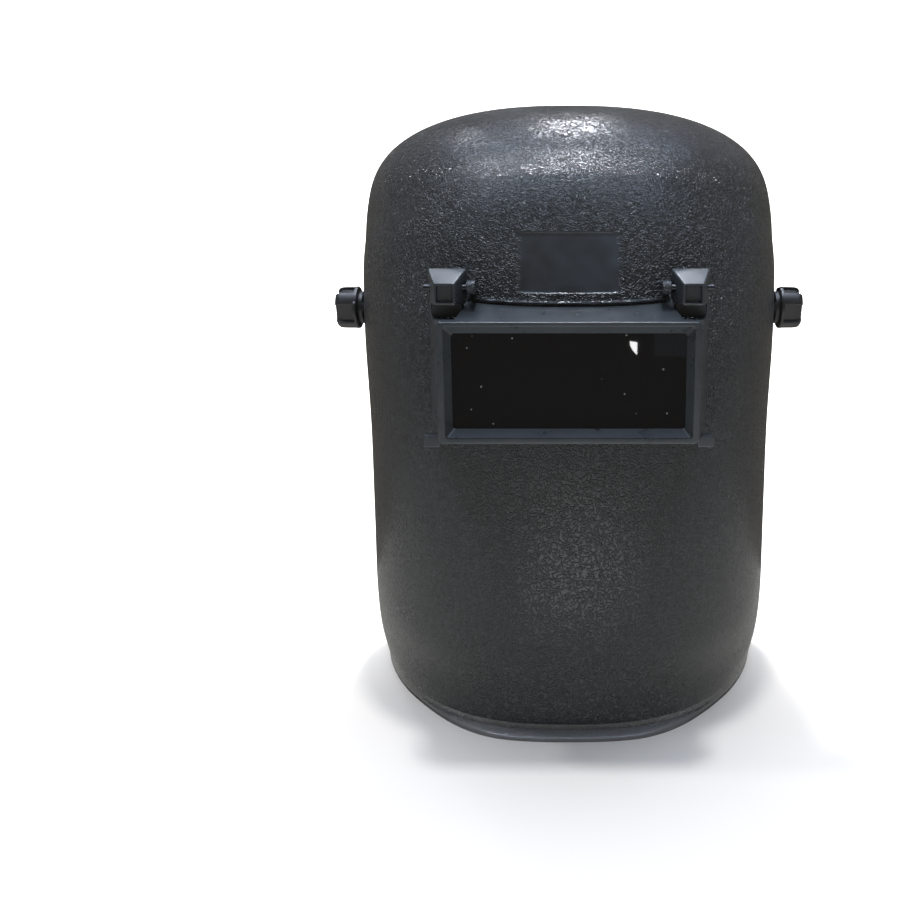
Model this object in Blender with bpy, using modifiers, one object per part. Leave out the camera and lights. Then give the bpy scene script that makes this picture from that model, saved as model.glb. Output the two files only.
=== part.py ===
"""Lift-front welding helmet with its head harness, as separate solids.

Metres, +Z up, front towards -Y. The helmet stands on its flat bottom rim at z = 0.
Shapes are laid out behind a datum plane that touches the shell's foremost point,
and the whole helmet hangs on one empty that centres it over the origin.
"""
import math

import bmesh
import bpy
import numpy as np
from mathutils import Matrix, Vector

# Shell
SHELL_HEIGHT = 0.298
SHELL_WIDTH = 0.2205
SHELL_DEPTH = 0.154
WALL = 0.0025
LIP_WIDTH = 0.007
LIP_EDGE = 0.0022
LIP_FADE_FROM = 0.26
LIP_FADE_TO = 0.71
GAP = 0.0003

# Window and lens
WINDOW_Z = 0.1722
WINDOW_WIDTH = 0.104
WINDOW_HEIGHT = 0.045
WINDOW_RADIUS = 0.004
LENS_WIDTH = 0.108
LENS_HEIGHT = 0.0500
LENS_THICK = 0.003
VIEW_WIDTH = 0.100
VIEW_HEIGHT = 0.041

# Lens frame
FRAME_STANDOFF = 0.012
FRAME_SEAT = 0.0054
FRAME_SIDE_WALL = 0.0026
FRAME_TOP_WALL = 0.0019
SIDE_DRAFT = math.radians(12.5)
TOP_DRAFT = math.radians(17)
BOTTOM_DRAFT = math.radians(10)
LAND_SIDE = 0.0029
LAND_TOP = 0.0021
LAND_STEP = 0.001
RETAINER_THICK = 0.0018
RETAINER_RIM = 0.004
FRAME_SHELL_GAP = 0.0005
FRAME_RADIUS = 0.0025
FRAME_BACK_RADIUS = 0.005
FRAME_CHAMFER = 0.0007
VIEW_RADIUS = 0.0015
SLAB_RADIUS = 0.001
TAB_REACH = 0.0072
TAB_HEIGHT = 0.0060
TAB_DEPTH = 0.0045

# Hinge
HINGE_INSET = 0.0015
HINGE_RISE = 0.0140
HINGE_X = LENS_WIDTH / 2 - HINGE_INSET
HINGE_Z = WINDOW_Z + LENS_HEIGHT / 2 + HINGE_RISE
HINGE_SETBACK = 0.015
PIN_RADIUS = 0.0014
BLOCK_FRONT = 0.0092
BLOCK_BACK_WIDTH = 0.0168
BLOCK_BACK_HEIGHT = 0.0150
BLOCK_REACH = 0.0085
BLOCK_TAIL = 0.0050
BLOCK_RADIUS = 0.0008
FACE_DROP = 0.0023
MIDDLE_DROP = 0.0001
BACK_RISE = 0.0015
RECESS_SHARE = 0.74
RECESS_DEPTH = 0.0022
EAR_WIDTH = 0.0038
EAR_RADIUS = 0.0029
SCOOP_START = 0.003
SCOOP_END = 0.027
SCOOP_FLOOR = 0.0006
LEG_START = 0.0135
LEG_END = 0.0195
PIN_PROUD = 0.0016

# Plate recess and bead above the window
PLATE_WIDTH = 0.044
PLATE_HEIGHT = 0.026
PLATE_Z = 0.2215
PLATE_DEPTH = 0.0006
PLATE_RADIUS = 0.0025
BEAD_WIDTH = 0.0815
BEAD_HEIGHT = 0.0013
BEAD_PROUD = 0.0011
BEAD_GAP = 0.0006

# Knobs, studs and head harness
PIVOT_SETBACK = 0.116
PIVOT_Z = 0.194
NECK_RADIUS = 0.0085
NECK_LENGTH = 0.0024
KNOB_RADIUS = 0.0112
KNOB_LENGTH = 0.0118
NOTCHES = 4
NOTCH_WIDTH = 0.0092
NOTCH_DEPTH = 0.0032
NOTCH_LEAD = math.radians(75)
POINTER_RADIUS = 0.0140
POINTER_WIDTH = 0.0080
POINTER_THICK = 0.0018
STUD_RADIUS = 0.003
STUD_GRIP = 0.0096
STUD_HEAD_RADIUS = 0.007
STUD_HEAD_THICK = 0.002
BAND_HALF_WIDTH = 0.079
BAND_HALF_LENGTH = 0.097
BAND_SETBACK = 0.138
BAND_HEIGHT = 0.024
BAND_THICK = 0.0018
ARM_HEIGHT = 0.020
ARM_THICK = 0.0022
ARM_REACH = 0.036
ARM_NOSE = 0.011
ARM_WALL_GAP = 0.0012
CROWN_RISE = 0.091
CROWN_WIDTH = 0.022
CROWN_THICK = 0.0018

ROWS = 27
COLUMNS = 18

# Stations of the shell from the chin to the top rim. Each row's section runs from a
# point on the centre line to a point on the back edge: heights are shares of
# SHELL_HEIGHT, depths of SHELL_DEPTH, width of half SHELL_WIDTH. nose and cheek are
# the superellipse exponents at the middle and at the sides; 2 is a plain ellipse.
STATIONS = [
    {"height": 0.0095, "depth": 0.050, "edge_height": 0.0095, "edge_depth": 0.800,
     "width": 0.946, "nose": 2.70, "cheek": 1.50},
    {"height": 0.067, "depth": 0.030, "edge_height": 0.067, "edge_depth": 0.800,
     "width": 0.980, "nose": 2.05, "cheek": 1.70},
    {"height": 0.151, "depth": 0.010, "edge_height": 0.151, "edge_depth": 0.855,
     "width": 0.990, "nose": 2.15, "cheek": 2.05},
    {"height": 0.302, "depth": 0.000, "edge_height": 0.295, "edge_depth": 0.930,
     "width": 0.987, "nose": 2.35, "cheek": 2.35},
    {"height": 0.470, "depth": 0.004, "edge_height": 0.443, "edge_depth": 0.980,
     "width": 0.990, "nose": 2.45, "cheek": 2.45},
    {"height": 0.621, "depth": 0.020, "edge_height": 0.570, "edge_depth": 0.998,
     "width": 1.000, "nose": 2.55, "cheek": 2.55},
    {"height": 0.711, "depth": 0.046, "edge_height": 0.640, "edge_depth": 1.000,
     "width": 1.000, "nose": 2.60, "cheek": 2.60},
    {"height": 0.792, "depth": 0.095, "edge_height": 0.685, "edge_depth": 0.998,
     "width": 1.000, "nose": 2.60, "cheek": 2.60},
    {"height": 0.859, "depth": 0.162, "edge_height": 0.718, "edge_depth": 0.994,
     "width": 0.999, "nose": 2.38, "cheek": 2.50},
    {"height": 0.913, "depth": 0.258, "edge_height": 0.745, "edge_depth": 0.988,
     "width": 0.998, "nose": 2.38, "cheek": 2.50},
    {"height": 0.953, "depth": 0.385, "edge_height": 0.768, "edge_depth": 0.981,
     "width": 0.997, "nose": 2.38, "cheek": 2.50},
    {"height": 0.980, "depth": 0.525, "edge_height": 0.789, "edge_depth": 0.973,
     "width": 0.995, "nose": 2.38, "cheek": 2.50},
    {"height": 0.995, "depth": 0.680, "edge_height": 0.805, "edge_depth": 0.966,
     "width": 0.993, "nose": 2.38, "cheek": 2.50},
    {"height": 1.000, "depth": 0.830, "edge_height": 0.819, "edge_depth": 0.959,
     "width": 0.990, "nose": 2.38, "cheek": 2.50},
]


def start_scene():
    for obj in list(bpy.data.objects):
        bpy.data.objects.remove(obj, do_unlink=True)
    parts = bpy.data.collections.new("welding_helmet")
    cutters = bpy.data.collections.new("cutters")
    bpy.context.scene.collection.children.link(parts)
    bpy.context.scene.collection.children.link(cutters)
    return parts, cutters


PARTS, CUTTERS = start_scene()


def material(name, color, roughness, metallic=0.0):
    made = bpy.data.materials.new(name)
    made.use_nodes = True
    shader = made.node_tree.nodes["Principled BSDF"]
    shader.inputs["Base Color"].default_value = (*color, 1.0)
    shader.inputs["Roughness"].default_value = roughness
    shader.inputs["Metallic"].default_value = metallic
    return made


def add_part(name, mesh, look):
    obj = bpy.data.objects.new(name, mesh)
    obj.data.materials.append(look)
    PARTS.objects.link(obj)
    return obj


def add_cutter(name, mesh):
    obj = bpy.data.objects.new(name, mesh)
    obj.hide_render = True
    obj.display_type = "WIRE"
    CUTTERS.objects.link(obj)
    return obj


def boolean(obj, other, operation="DIFFERENCE"):
    step = obj.modifiers.new(other.name, "BOOLEAN")
    step.operation = operation
    step.solver = "EXACT"
    step.object = other


def solidify(obj, thickness, offset=-1.0):
    wall = obj.modifiers.new("wall", "SOLIDIFY")
    wall.thickness = thickness
    wall.offset = offset
    wall.use_even_offset = True
    wall.use_rim = True


def mirror(obj):
    halves = obj.modifiers.new("halves", "MIRROR")
    halves.use_clip = True
    halves.merge_threshold = 0.0001


def smooth(mesh, angle=35):
    mesh.shade_smooth()
    mesh.set_sharp_from_angle(angle=math.radians(angle))


def grid_mesh(name, points):
    """Quads over a rows by columns array of points, rows running upwards."""
    rows, columns = points.shape[:2]
    first = np.arange(rows - 1)[:, None] * columns + np.arange(columns - 1)[None, :]
    quads = np.stack([first, first + 1, first + columns + 1, first + columns], axis=-1)
    mesh = bpy.data.meshes.new(name)
    mesh.from_pydata(points.reshape(-1, 3).tolist(), [], quads.reshape(-1, 4).tolist())
    smooth(mesh)
    return mesh


def rounded_rectangle(width, height, radius, steps=3):
    """Points of a rectangle with round corners, as (across, up)."""
    points = []
    for corner in range(4):
        turn = corner * math.pi / 2
        side_x = (1, -1, -1, 1)[corner] * (width / 2 - radius)
        side_z = (1, 1, -1, -1)[corner] * (height / 2 - radius)
        for step in range(steps + 1):
            angle = turn + step / steps * math.pi / 2
            points.append((side_x + radius * math.cos(angle), side_z + radius * math.sin(angle)))
    return points


def loft_mesh(name, sections):
    """A closed solid skinned through rounded rectangles, one at each depth.

    Each section has its y, width, height, radius and centre x and z.
    """
    bm = bmesh.new()
    rings = []
    for section in sections:
        outline = rounded_rectangle(section["width"], section["height"], section["radius"])
        rings.append([
            bm.verts.new((section.get("x", 0.0) + x, section["y"], section["z"] + z))
            for x, z in outline
        ])
    count = len(rings[0])
    for near, far in zip(rings, rings[1:]):
        for i in range(count):
            j = (i + 1) % count
            bm.faces.new((near[i], near[j], far[j], far[i]))
    bm.faces.new(rings[0])
    bm.faces.new(rings[-1])
    bmesh.ops.recalc_face_normals(bm, faces=bm.faces)
    mesh = bpy.data.meshes.new(name)
    bm.to_mesh(mesh)
    bm.free()
    return mesh


def box_mesh(name, low, high):
    bm = bmesh.new()
    bmesh.ops.create_cube(bm, size=1.0)
    for vert in bm.verts:
        for axis in range(3):
            vert.co[axis] = low[axis] if vert.co[axis] < 0 else high[axis]
    mesh = bpy.data.meshes.new(name)
    bm.to_mesh(mesh)
    bm.free()
    return mesh


def rod_mesh(name, radius, x_from, x_to, y, z, sides=24):
    """A round rod along X."""
    bm = bmesh.new()
    bmesh.ops.create_cone(bm, cap_ends=True, segments=sides, radius1=radius, radius2=radius,
                          depth=1.0)
    for vert in bm.verts:
        across, up, along = vert.co
        vert.co = (x_from + (along + 0.5) * (x_to - x_from), y + across, z + up)
    bmesh.ops.recalc_face_normals(bm, faces=bm.faces)
    mesh = bpy.data.meshes.new(name)
    bm.to_mesh(mesh)
    bm.free()
    smooth(mesh)
    return mesh


# The shell's surface

def between_stations(share):
    """The station at a share of the way from chin to top rim, by a smooth curve."""
    names = list(STATIONS[0])
    table = np.array([[station[name] for name in names] for station in STATIONS])
    place = np.clip(np.asarray(share, float) * (len(table) - 1), 0, len(table) - 1 - 1e-9)
    index = place.astype(int)
    t = (place - index)[..., None]
    padded = np.vstack([2 * table[0] - table[1], table, 2 * table[-1] - table[-2]])
    before, start, end, after = (padded[index + k] for k in range(4))
    values = 0.5 * (2 * start + (end - before) * t
                    + (2 * before - 5 * start + 4 * end - after) * t ** 2
                    + (3 * start - before - 3 * end + after) * t ** 3)
    return {name: values[..., k] for k, name in enumerate(names)}


def shell_row(share, along):
    """Points of one section, at shares of its length from the centre line to the back edge."""
    station = {name: float(value) for name, value in between_stations(share).items()}
    half_width = station["width"] * SHELL_WIDTH / 2
    centre = np.array([station["depth"] * SHELL_DEPTH, station["height"] * SHELL_HEIGHT])
    edge = np.array([station["edge_depth"] * SHELL_DEPTH, station["edge_height"] * SHELL_HEIGHT])
    angle = np.linspace(0, math.pi / 2, 400)
    across = half_width * np.sin(angle) ** (2 / station["nose"])
    back = 1 - np.clip(np.cos(angle), 0, 1) ** (2 / station["cheek"])
    run = np.hypot(np.diff(across), np.diff(back) * np.linalg.norm(edge - centre))
    length = np.concatenate([[0], np.cumsum(run)])
    wanted = np.asarray(along) * length[-1]
    across = np.interp(wanted, length, across)
    back = np.interp(wanted, length, back)
    line = centre + back[:, None] * (edge - centre)
    return np.stack([across, line[:, 0], line[:, 1]], axis=-1)


def surface_grid(low, high, rows, reach, columns):
    """The shell's outer surface between two shares of its height and out to a share of a row."""
    along = np.linspace(0, reach, columns)
    return np.stack([shell_row(share, along) for share in np.linspace(low, high, rows)])


def dense_surface():
    return surface_grid(0, 1, 160, 1, 160).reshape(-1, 3)


SURFACE = dense_surface()


def shell_front(x, z):
    """How far behind the datum the outer surface lies at a place seen from the front."""
    nearest = np.argsort(np.hypot(SURFACE[:, 0] - abs(x), SURFACE[:, 2] - z))[:4]
    return float(SURFACE[nearest, 1].mean())


def shell_side(y, z):
    """How far from the middle plane the outer surface lies at a place seen from the side."""
    nearest = np.argsort(np.hypot(SURFACE[:, 1] - y, SURFACE[:, 2] - z))[:4]
    return float(SURFACE[nearest, 0].mean())


def lip_rows(crease):
    """Two rows under the crease: the lip's edge, and a row below the floor that is cut off."""
    tangent = np.gradient(crease, axis=0)
    outward = np.stack([tangent[:, 1], -tangent[:, 0]], axis=-1)
    outward /= np.linalg.norm(outward, axis=1, keepdims=True)
    share = crease[:, 0] / (SHELL_WIDTH / 2) - LIP_FADE_FROM
    share = np.clip(share / (LIP_FADE_TO - LIP_FADE_FROM), 0, 1)
    width = LIP_WIDTH * (1 - share ** 2 * (3 - 2 * share))
    edge = crease.copy()
    edge[:, :2] += outward * width[:, None]
    edge[:, 0] = np.where(np.arange(len(edge)) == 0, 0.0, edge[:, 0])
    upper = edge.copy()
    upper[:, 2] = LIP_EDGE
    lower = edge.copy()
    lower[:, 2] = -2 * WALL
    return np.stack([lower, upper])


def shell_patch(name, low, high, reach, inward, outward):
    """A slab that follows the shell's outer surface, for trimming and raising things on it."""
    slab = add_cutter(name, grid_mesh(name, surface_grid(low, high, 17, reach, 17)))
    mirror(slab)
    thickness = inward + outward
    solidify(slab, thickness, offset=2 * outward / thickness - 1)
    return slab


def plate_recess():
    slab = shell_patch("plate_slab", 0.30, 0.72, 0.35, PLATE_DEPTH, 6 * PLATE_DEPTH)
    outline = add_cutter("plate_outline", loft_mesh("plate_outline", [
        {"y": y, "width": PLATE_WIDTH, "height": PLATE_HEIGHT, "radius": PLATE_RADIUS,
         "z": PLATE_Z}
        for y in (-SHELL_DEPTH / 4, SHELL_DEPTH / 2)
    ]))
    boolean(slab, outline, "INTERSECT")
    return slab


def frame_shape(name, grown):
    """The frame's outer shape grown by a margin, from its front face to inside the shell."""
    back = FRAME_STANDOFF + frame_reach()
    return add_cutter(name, loft_mesh(name, [
        frame_section(depth, -grown, -grown) for depth in (0, back)
    ]))


def window_bead():
    """A bead on the shell that follows the top of the lens frame."""
    slab = shell_patch("bead_slab", 0.30, 0.62, 0.45, WALL / 2, BEAD_PROUD)
    span = add_cutter("bead_span", box_mesh(
        "bead_span", (-BEAD_WIDTH / 2, -SHELL_DEPTH / 4, WINDOW_Z),
        (BEAD_WIDTH / 2, SHELL_DEPTH / 4, WINDOW_Z + LENS_HEIGHT)))
    boolean(slab, span, "INTERSECT")
    boolean(slab, frame_shape("bead_top", BEAD_GAP + BEAD_HEIGHT), "INTERSECT")
    boolean(slab, frame_shape("bead_bottom", BEAD_GAP))
    return slab


def hinge_ear(side):
    """An ear beside a hinge block: a bar from the wall to a round nose about the pin."""
    inner = side * (HINGE_X - BLOCK_BACK_WIDTH / 2 - GAP)
    outer = inner - side * EAR_WIDTH
    root = shell_front(HINGE_X, HINGE_Z) + WALL / 2
    nose = HINGE_SETBACK - FRAME_STANDOFF
    low, high = sorted((inner, outer))
    name = "ear_" + ("right" if side > 0 else "left")
    bar = add_cutter(name, box_mesh(
        name, (low, nose, HINGE_Z - EAR_RADIUS), (high, root, HINGE_Z + EAR_RADIUS)))
    tip = add_cutter(name + "_nose", rod_mesh(name + "_nose", EAR_RADIUS, low, high, nose,
                                              HINGE_Z, 16))
    boolean(bar, tip, "UNION")
    return bar


def helmet_shell(look):
    body = surface_grid(0, 1, ROWS, 1, COLUMNS)
    points = np.concatenate([lip_rows(body[0]), body])
    shell = add_part("helmet_shell", grid_mesh("helmet_shell", points), look)
    mirror(shell)
    solidify(shell, WALL)
    floor = add_cutter("floor_cut", box_mesh(
        "floor_cut", (-SHELL_WIDTH, -SHELL_DEPTH, -SHELL_DEPTH),
        (SHELL_WIDTH, 2 * SHELL_DEPTH, 0)))
    boolean(shell, floor)
    window = add_cutter("window_cut", loft_mesh("window_cut", [
        {"y": y, "width": WINDOW_WIDTH, "height": WINDOW_HEIGHT,
         "radius": WINDOW_RADIUS, "z": WINDOW_Z}
        for y in (-SHELL_DEPTH / 4, SHELL_DEPTH / 2)
    ]))
    boolean(shell, window)
    boolean(shell, plate_recess())
    boolean(shell, window_bead(), "UNION")
    for side in (-1, 1):
        boolean(shell, hinge_ear(side), "UNION")
    pins = add_cutter("pin_bore", rod_mesh(
        "pin_bore", PIN_RADIUS + GAP, -SHELL_WIDTH / 2, SHELL_WIDTH / 2,
        HINGE_SETBACK - FRAME_STANDOFF, HINGE_Z, 16))
    boolean(shell, pins)
    for side in (-1, 1):
        boolean(shell, pivot_bore(side))
    return shell


def pivot_bore(side):
    name = "pivot_bore_" + ("right" if side > 0 else "left")
    low, high = sorted((side * (SHELL_WIDTH / 2 - 4 * WALL), side * (SHELL_WIDTH / 2 + 4 * WALL)))
    return add_cutter(name, rod_mesh(
        name, STUD_RADIUS + GAP, low, high, PIVOT_SETBACK, PIVOT_Z))


# The lens frame and what it holds

def frame_width_at(depth):
    """Outer width of the frame at a distance behind its front face."""
    side = GAP + FRAME_SIDE_WALL / math.cos(SIDE_DRAFT)
    return LENS_WIDTH + 2 * (side + (depth - FRAME_SEAT - GAP) * math.tan(SIDE_DRAFT))


def frame_edge_at(depth, draft):
    """Height of the frame's top or bottom face from the window's centre."""
    wall = GAP + FRAME_TOP_WALL / math.cos(draft)
    return LENS_HEIGHT / 2 + wall + (depth - FRAME_SEAT - GAP) * math.tan(draft)


def frame_top(depth=0.0):
    return WINDOW_Z + frame_edge_at(depth, TOP_DRAFT)


def frame_bottom(depth=0.0):
    return WINDOW_Z - frame_edge_at(depth, BOTTOM_DRAFT)


def frame_section(depth, side_wall=0.0, top_wall=0.0, radius=FRAME_RADIUS):
    top = frame_top(depth) - top_wall
    bottom = frame_bottom(depth) + top_wall
    return {
        "y": depth - FRAME_STANDOFF,
        "width": frame_width_at(depth) - 2 * side_wall,
        "height": top - bottom,
        "radius": radius,
        "z": (top + bottom) / 2,
    }


def frame_reach():
    """How far behind the datum the frame's side walls meet the shell, and a little more."""
    return shell_front(LENS_WIDTH / 2 + FRAME_STANDOFF, WINDOW_Z) + 2 * WALL


def frame_cavity():
    side = FRAME_SIDE_WALL / math.cos(SIDE_DRAFT)
    top = FRAME_TOP_WALL / math.cos(TOP_DRAFT)
    back = FRAME_STANDOFF + frame_reach() + WALL
    return add_cutter("frame_cavity", loft_mesh("frame_cavity", [
        frame_section(FRAME_SEAT, side, top, SLAB_RADIUS),
        frame_section(back, side, top, SLAB_RADIUS),
    ]))


def frame_view():
    """The opening over the lens: a shallow step behind the land, then a slope to the lens."""
    land = frame_section(0)
    step_width = land["width"] - 2 * LAND_SIDE
    step_height = land["height"] - 2 * LAND_TOP
    rows = [
        (-LAND_STEP, step_width, step_height),
        (LAND_STEP, step_width, step_height),
        (FRAME_SEAT, VIEW_WIDTH, VIEW_HEIGHT),
        (FRAME_SEAT + LAND_STEP, VIEW_WIDTH, VIEW_HEIGHT),
    ]
    return add_cutter("frame_view", loft_mesh("frame_view", [
        {"y": depth - FRAME_STANDOFF, "width": width, "height": height,
         "radius": VIEW_RADIUS, "z": WINDOW_Z}
        for depth, width, height in rows
    ]))


def scoop_width(depth):
    """Width of the notch under a hinge block at a distance behind the frame's front face."""
    share = (depth - SCOOP_START) / (SCOOP_END - SCOOP_START)
    return BLOCK_FRONT + share * (BLOCK_BACK_WIDTH - BLOCK_FRONT)


def scoop_floor():
    return frame_top() + SCOOP_FLOOR


def block_scoop(side):
    """The notch in the frame's top under a hinge block, widening towards the shell."""
    name = "scoop_" + ("right" if side > 0 else "left")
    return add_cutter(name, loft_mesh(name, [
        {"y": depth - FRAME_STANDOFF, "width": scoop_width(depth), "height": height,
         "radius": SCOOP_FLOOR * 2, "x": side * HINGE_X, "z": scoop_floor() + height / 2}
        for depth, height in ((SCOOP_START, EAR_RADIUS), (SCOOP_END, 4 * EAR_RADIUS))
    ]))


def lift_tab(side):
    name = "tab_" + ("right" if side > 0 else "left")
    inner = (frame_width_at(FRAME_SEAT) - FRAME_SIDE_WALL) / 2
    outer = frame_width_at(0) / 2 + TAB_REACH
    return add_cutter(name, loft_mesh(name, [
        {"y": FRAME_SEAT + depth - FRAME_STANDOFF, "width": outer - inner, "height": height,
         "radius": TAB_HEIGHT / 8, "x": side * (inner + outer) / 2, "z": frame_bottom()}
        for depth, height in ((0, TAB_HEIGHT * 0.86), (TAB_DEPTH, TAB_HEIGHT))
    ]))


def lens_frame(look):
    back = FRAME_STANDOFF + frame_reach()
    frame = add_part("lens_frame", loft_mesh("lens_frame", [
        frame_section(0, FRAME_CHAMFER, FRAME_CHAMFER),
        frame_section(FRAME_CHAMFER),
        frame_section(back, radius=FRAME_BACK_RADIUS),
    ]), look)
    for side in (-1, 1):
        boolean(frame, lift_tab(side), "UNION")
    boolean(frame, frame_cavity())
    boolean(frame, frame_view())
    for side in (-1, 1):
        boolean(frame, block_scoop(side))
    boolean(frame, shell_patch("frame_trim", 0.10, 0.60, 0.70,
                               frame_reach() + 2 * WALL, FRAME_SHELL_GAP))
    return frame


def flat_slab(name, width, height, depth_from, depth_to):
    return loft_mesh(name, [
        {"y": depth - FRAME_STANDOFF, "width": width, "height": height,
         "radius": SLAB_RADIUS, "z": WINDOW_Z}
        for depth in (depth_from, depth_to)
    ])


def filter_glass(look):
    front = FRAME_SEAT + GAP
    return add_part("filter_glass", flat_slab(
        "filter_glass", LENS_WIDTH, LENS_HEIGHT, front, front + LENS_THICK), look)


def lens_retainer(look):
    front = FRAME_SEAT + GAP + LENS_THICK + GAP
    ring = add_part("lens_retainer", flat_slab(
        "lens_retainer", LENS_WIDTH, LENS_HEIGHT, front, front + RETAINER_THICK), look)
    hole = add_cutter("retainer_hole", flat_slab(
        "retainer_hole", LENS_WIDTH - 2 * RETAINER_RIM, LENS_HEIGHT - 2 * RETAINER_RIM,
        front - RETAINER_THICK, front + 2 * RETAINER_THICK))
    boolean(ring, hole)
    return ring


# The hinge

def hinge_block(side, look):
    """A block that narrows to a square face with a square recess, on a short arm."""
    name = "hinge_block_" + ("right" if side > 0 else "left")
    x = side * HINGE_X
    axis_y = HINGE_SETBACK - FRAME_STANDOFF
    rows = [
        (-BLOCK_REACH, BLOCK_FRONT, BLOCK_FRONT, -FACE_DROP),
        (BLOCK_TAIL * 0.2, BLOCK_BACK_WIDTH * 0.9, BLOCK_BACK_HEIGHT * 0.9, -MIDDLE_DROP),
        (BLOCK_TAIL, BLOCK_BACK_WIDTH, BLOCK_BACK_HEIGHT * 0.85, BACK_RISE),
    ]
    block = add_part(name, loft_mesh(name, [
        {"y": axis_y + back, "width": width, "height": height, "radius": BLOCK_RADIUS,
         "x": x, "z": HINGE_Z + rise}
        for back, width, height, rise in rows
    ]), look)
    boolean(block, block_leg(side), "UNION")
    recess = add_cutter(name + "_recess", loft_mesh(name + "_recess", [
        {"y": axis_y - BLOCK_REACH + depth, "width": BLOCK_FRONT * RECESS_SHARE,
         "height": BLOCK_FRONT * RECESS_SHARE, "radius": BLOCK_RADIUS / 2, "x": x,
         "z": HINGE_Z - FACE_DROP}
        for depth in (-RECESS_DEPTH, RECESS_DEPTH)
    ]))
    boolean(block, recess)
    bore = add_cutter(name + "_bore", rod_mesh(
        name + "_bore", PIN_RADIUS + GAP, x - BLOCK_BACK_WIDTH, x + BLOCK_BACK_WIDTH, axis_y,
        HINGE_Z, 16))
    boolean(block, bore)
    return block


def block_leg(side):
    """The block's foot, which fills the notch in the frame's top with a small gap."""
    name = "leg_" + ("right" if side > 0 else "left")
    low = scoop_floor() + GAP
    high = HINGE_Z - PIN_RADIUS - GAP
    return add_cutter(name, loft_mesh(name, [
        {"y": depth - FRAME_STANDOFF, "width": scoop_width(depth) - 2 * GAP,
         "height": high - low, "radius": SCOOP_FLOOR * 2, "x": side * HINGE_X,
         "z": (low + high) / 2}
        for depth in (LEG_START, LEG_END)
    ]))


def hinge_pin(side, look):
    name = "hinge_pin_" + ("right" if side > 0 else "left")
    inner = HINGE_X - BLOCK_BACK_WIDTH / 2 - GAP - EAR_WIDTH
    outer = HINGE_X + BLOCK_BACK_WIDTH / 2 + PIN_PROUD
    low, high = sorted((side * inner, side * outer))
    return add_part(name, rod_mesh(
        name, PIN_RADIUS, low, high, HINGE_SETBACK - FRAME_STANDOFF, HINGE_Z, 16), look)


# Knobs, studs and head harness

def turned_part(name, profile, side, start, steps, look):
    """A profile of (radius, distance outwards), turned about the pivot axis."""
    low, high = profile[0][1], profile[-1][1]
    outline = [(0, high), *reversed(profile), (0, low)]
    mesh = bpy.data.meshes.new(name)
    edges = [(i, i + 1) for i in range(len(outline) - 1)]
    mesh.from_pydata([(radius, 0, out) for radius, out in outline], edges, [])
    made = add_part(name, mesh, look)
    made.location = (side * start, PIVOT_SETBACK, PIVOT_Z)
    made.rotation_euler = (0, side * math.pi / 2, 0)
    turn = made.modifiers.new("turn", "SCREW")
    turn.axis = "Z"
    turn.steps = steps
    turn.render_steps = steps
    turn.use_merge_vertices = True
    turn.merge_threshold = 0.00005
    return made


def wall_at_pivot():
    """The outermost point of the wall under the knob's neck."""
    ring = np.linspace(0, 2 * math.pi, 12, endpoint=False)
    return max(shell_side(PIVOT_SETBACK + NECK_RADIUS * math.cos(angle),
                          PIVOT_Z + NECK_RADIUS * math.sin(angle)) for angle in ring)


def knob(side, look):
    """A round knob with grip notches and a pointer; the left one is a quarter turn on."""
    name = "knob_" + ("right" if side > 0 else "left")
    end = NECK_LENGTH + KNOB_LENGTH
    profile = [
        (NECK_RADIUS, 0), (NECK_RADIUS, NECK_LENGTH), (KNOB_RADIUS * 0.97, NECK_LENGTH),
        (KNOB_RADIUS, NECK_LENGTH + KNOB_RADIUS * 0.06), (KNOB_RADIUS, end - KNOB_RADIUS * 0.30),
        (KNOB_RADIUS * 0.95, end - KNOB_RADIUS * 0.12), (KNOB_RADIUS * 0.82, end),
    ]
    start = wall_at_pivot() + GAP
    made = turned_part(name, profile, side, start, 40, look)
    turn = 0.0 if side > 0 else math.pi / 2
    boolean(made, knob_pointer(name, side, start, turn), "UNION")
    for index in range(NOTCHES):
        angle = turn + NOTCH_LEAD + index * 2 * math.pi / NOTCHES
        boolean(made, knob_notch(f"{name}_notch_{index}", side, start, angle))
    bore_low, bore_high = sorted((side * (start - WALL), side * (start + STUD_GRIP)))
    bore = add_cutter(name + "_bore", rod_mesh(
        name + "_bore", STUD_RADIUS + GAP, bore_low, bore_high, PIVOT_SETBACK, PIVOT_Z))
    boolean(made, bore)
    return made


def radial_box(name, side, radius_from, radius_to, half_width, out_from, out_to, angle):
    """A box that points away from the pivot axis; angle is counted from straight up."""
    low, high = sorted((side * out_from, side * out_to))
    mesh = box_mesh(name, (low, -half_width, radius_from), (high, half_width, radius_to))
    mesh.transform(Matrix.Rotation(angle, 4, "X"))
    mesh.transform(Matrix.Translation((0, PIVOT_SETBACK, PIVOT_Z)))
    return add_cutter(name, mesh)


def knob_pointer(name, side, start, turn):
    back = start + NECK_LENGTH
    return radial_box(name + "_pointer", side, KNOB_RADIUS * 0.7, POINTER_RADIUS,
                      POINTER_WIDTH / 2, back, back + POINTER_THICK, turn)


def knob_notch(name, side, start, angle):
    shelf = start + NECK_LENGTH + POINTER_THICK
    return radial_box(name, side, KNOB_RADIUS - NOTCH_DEPTH, 2 * KNOB_RADIUS, NOTCH_WIDTH / 2,
                      shelf, start + NECK_LENGTH + 2 * KNOB_LENGTH, angle)


def pivot_stud(side, look):
    """A plain stud: its head lies inside the harness arm, its shank ends in the knob."""
    name = "pivot_stud_" + ("right" if side > 0 else "left")
    start = arm_face() - ARM_THICK - GAP - STUD_HEAD_THICK
    end = wall_at_pivot() + STUD_GRIP - start
    profile = [(STUD_HEAD_RADIUS, 0), (STUD_HEAD_RADIUS, STUD_HEAD_THICK),
               (STUD_RADIUS, STUD_HEAD_THICK), (STUD_RADIUS, end)]
    return turned_part(name, profile, side, start, 24, look)


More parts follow.
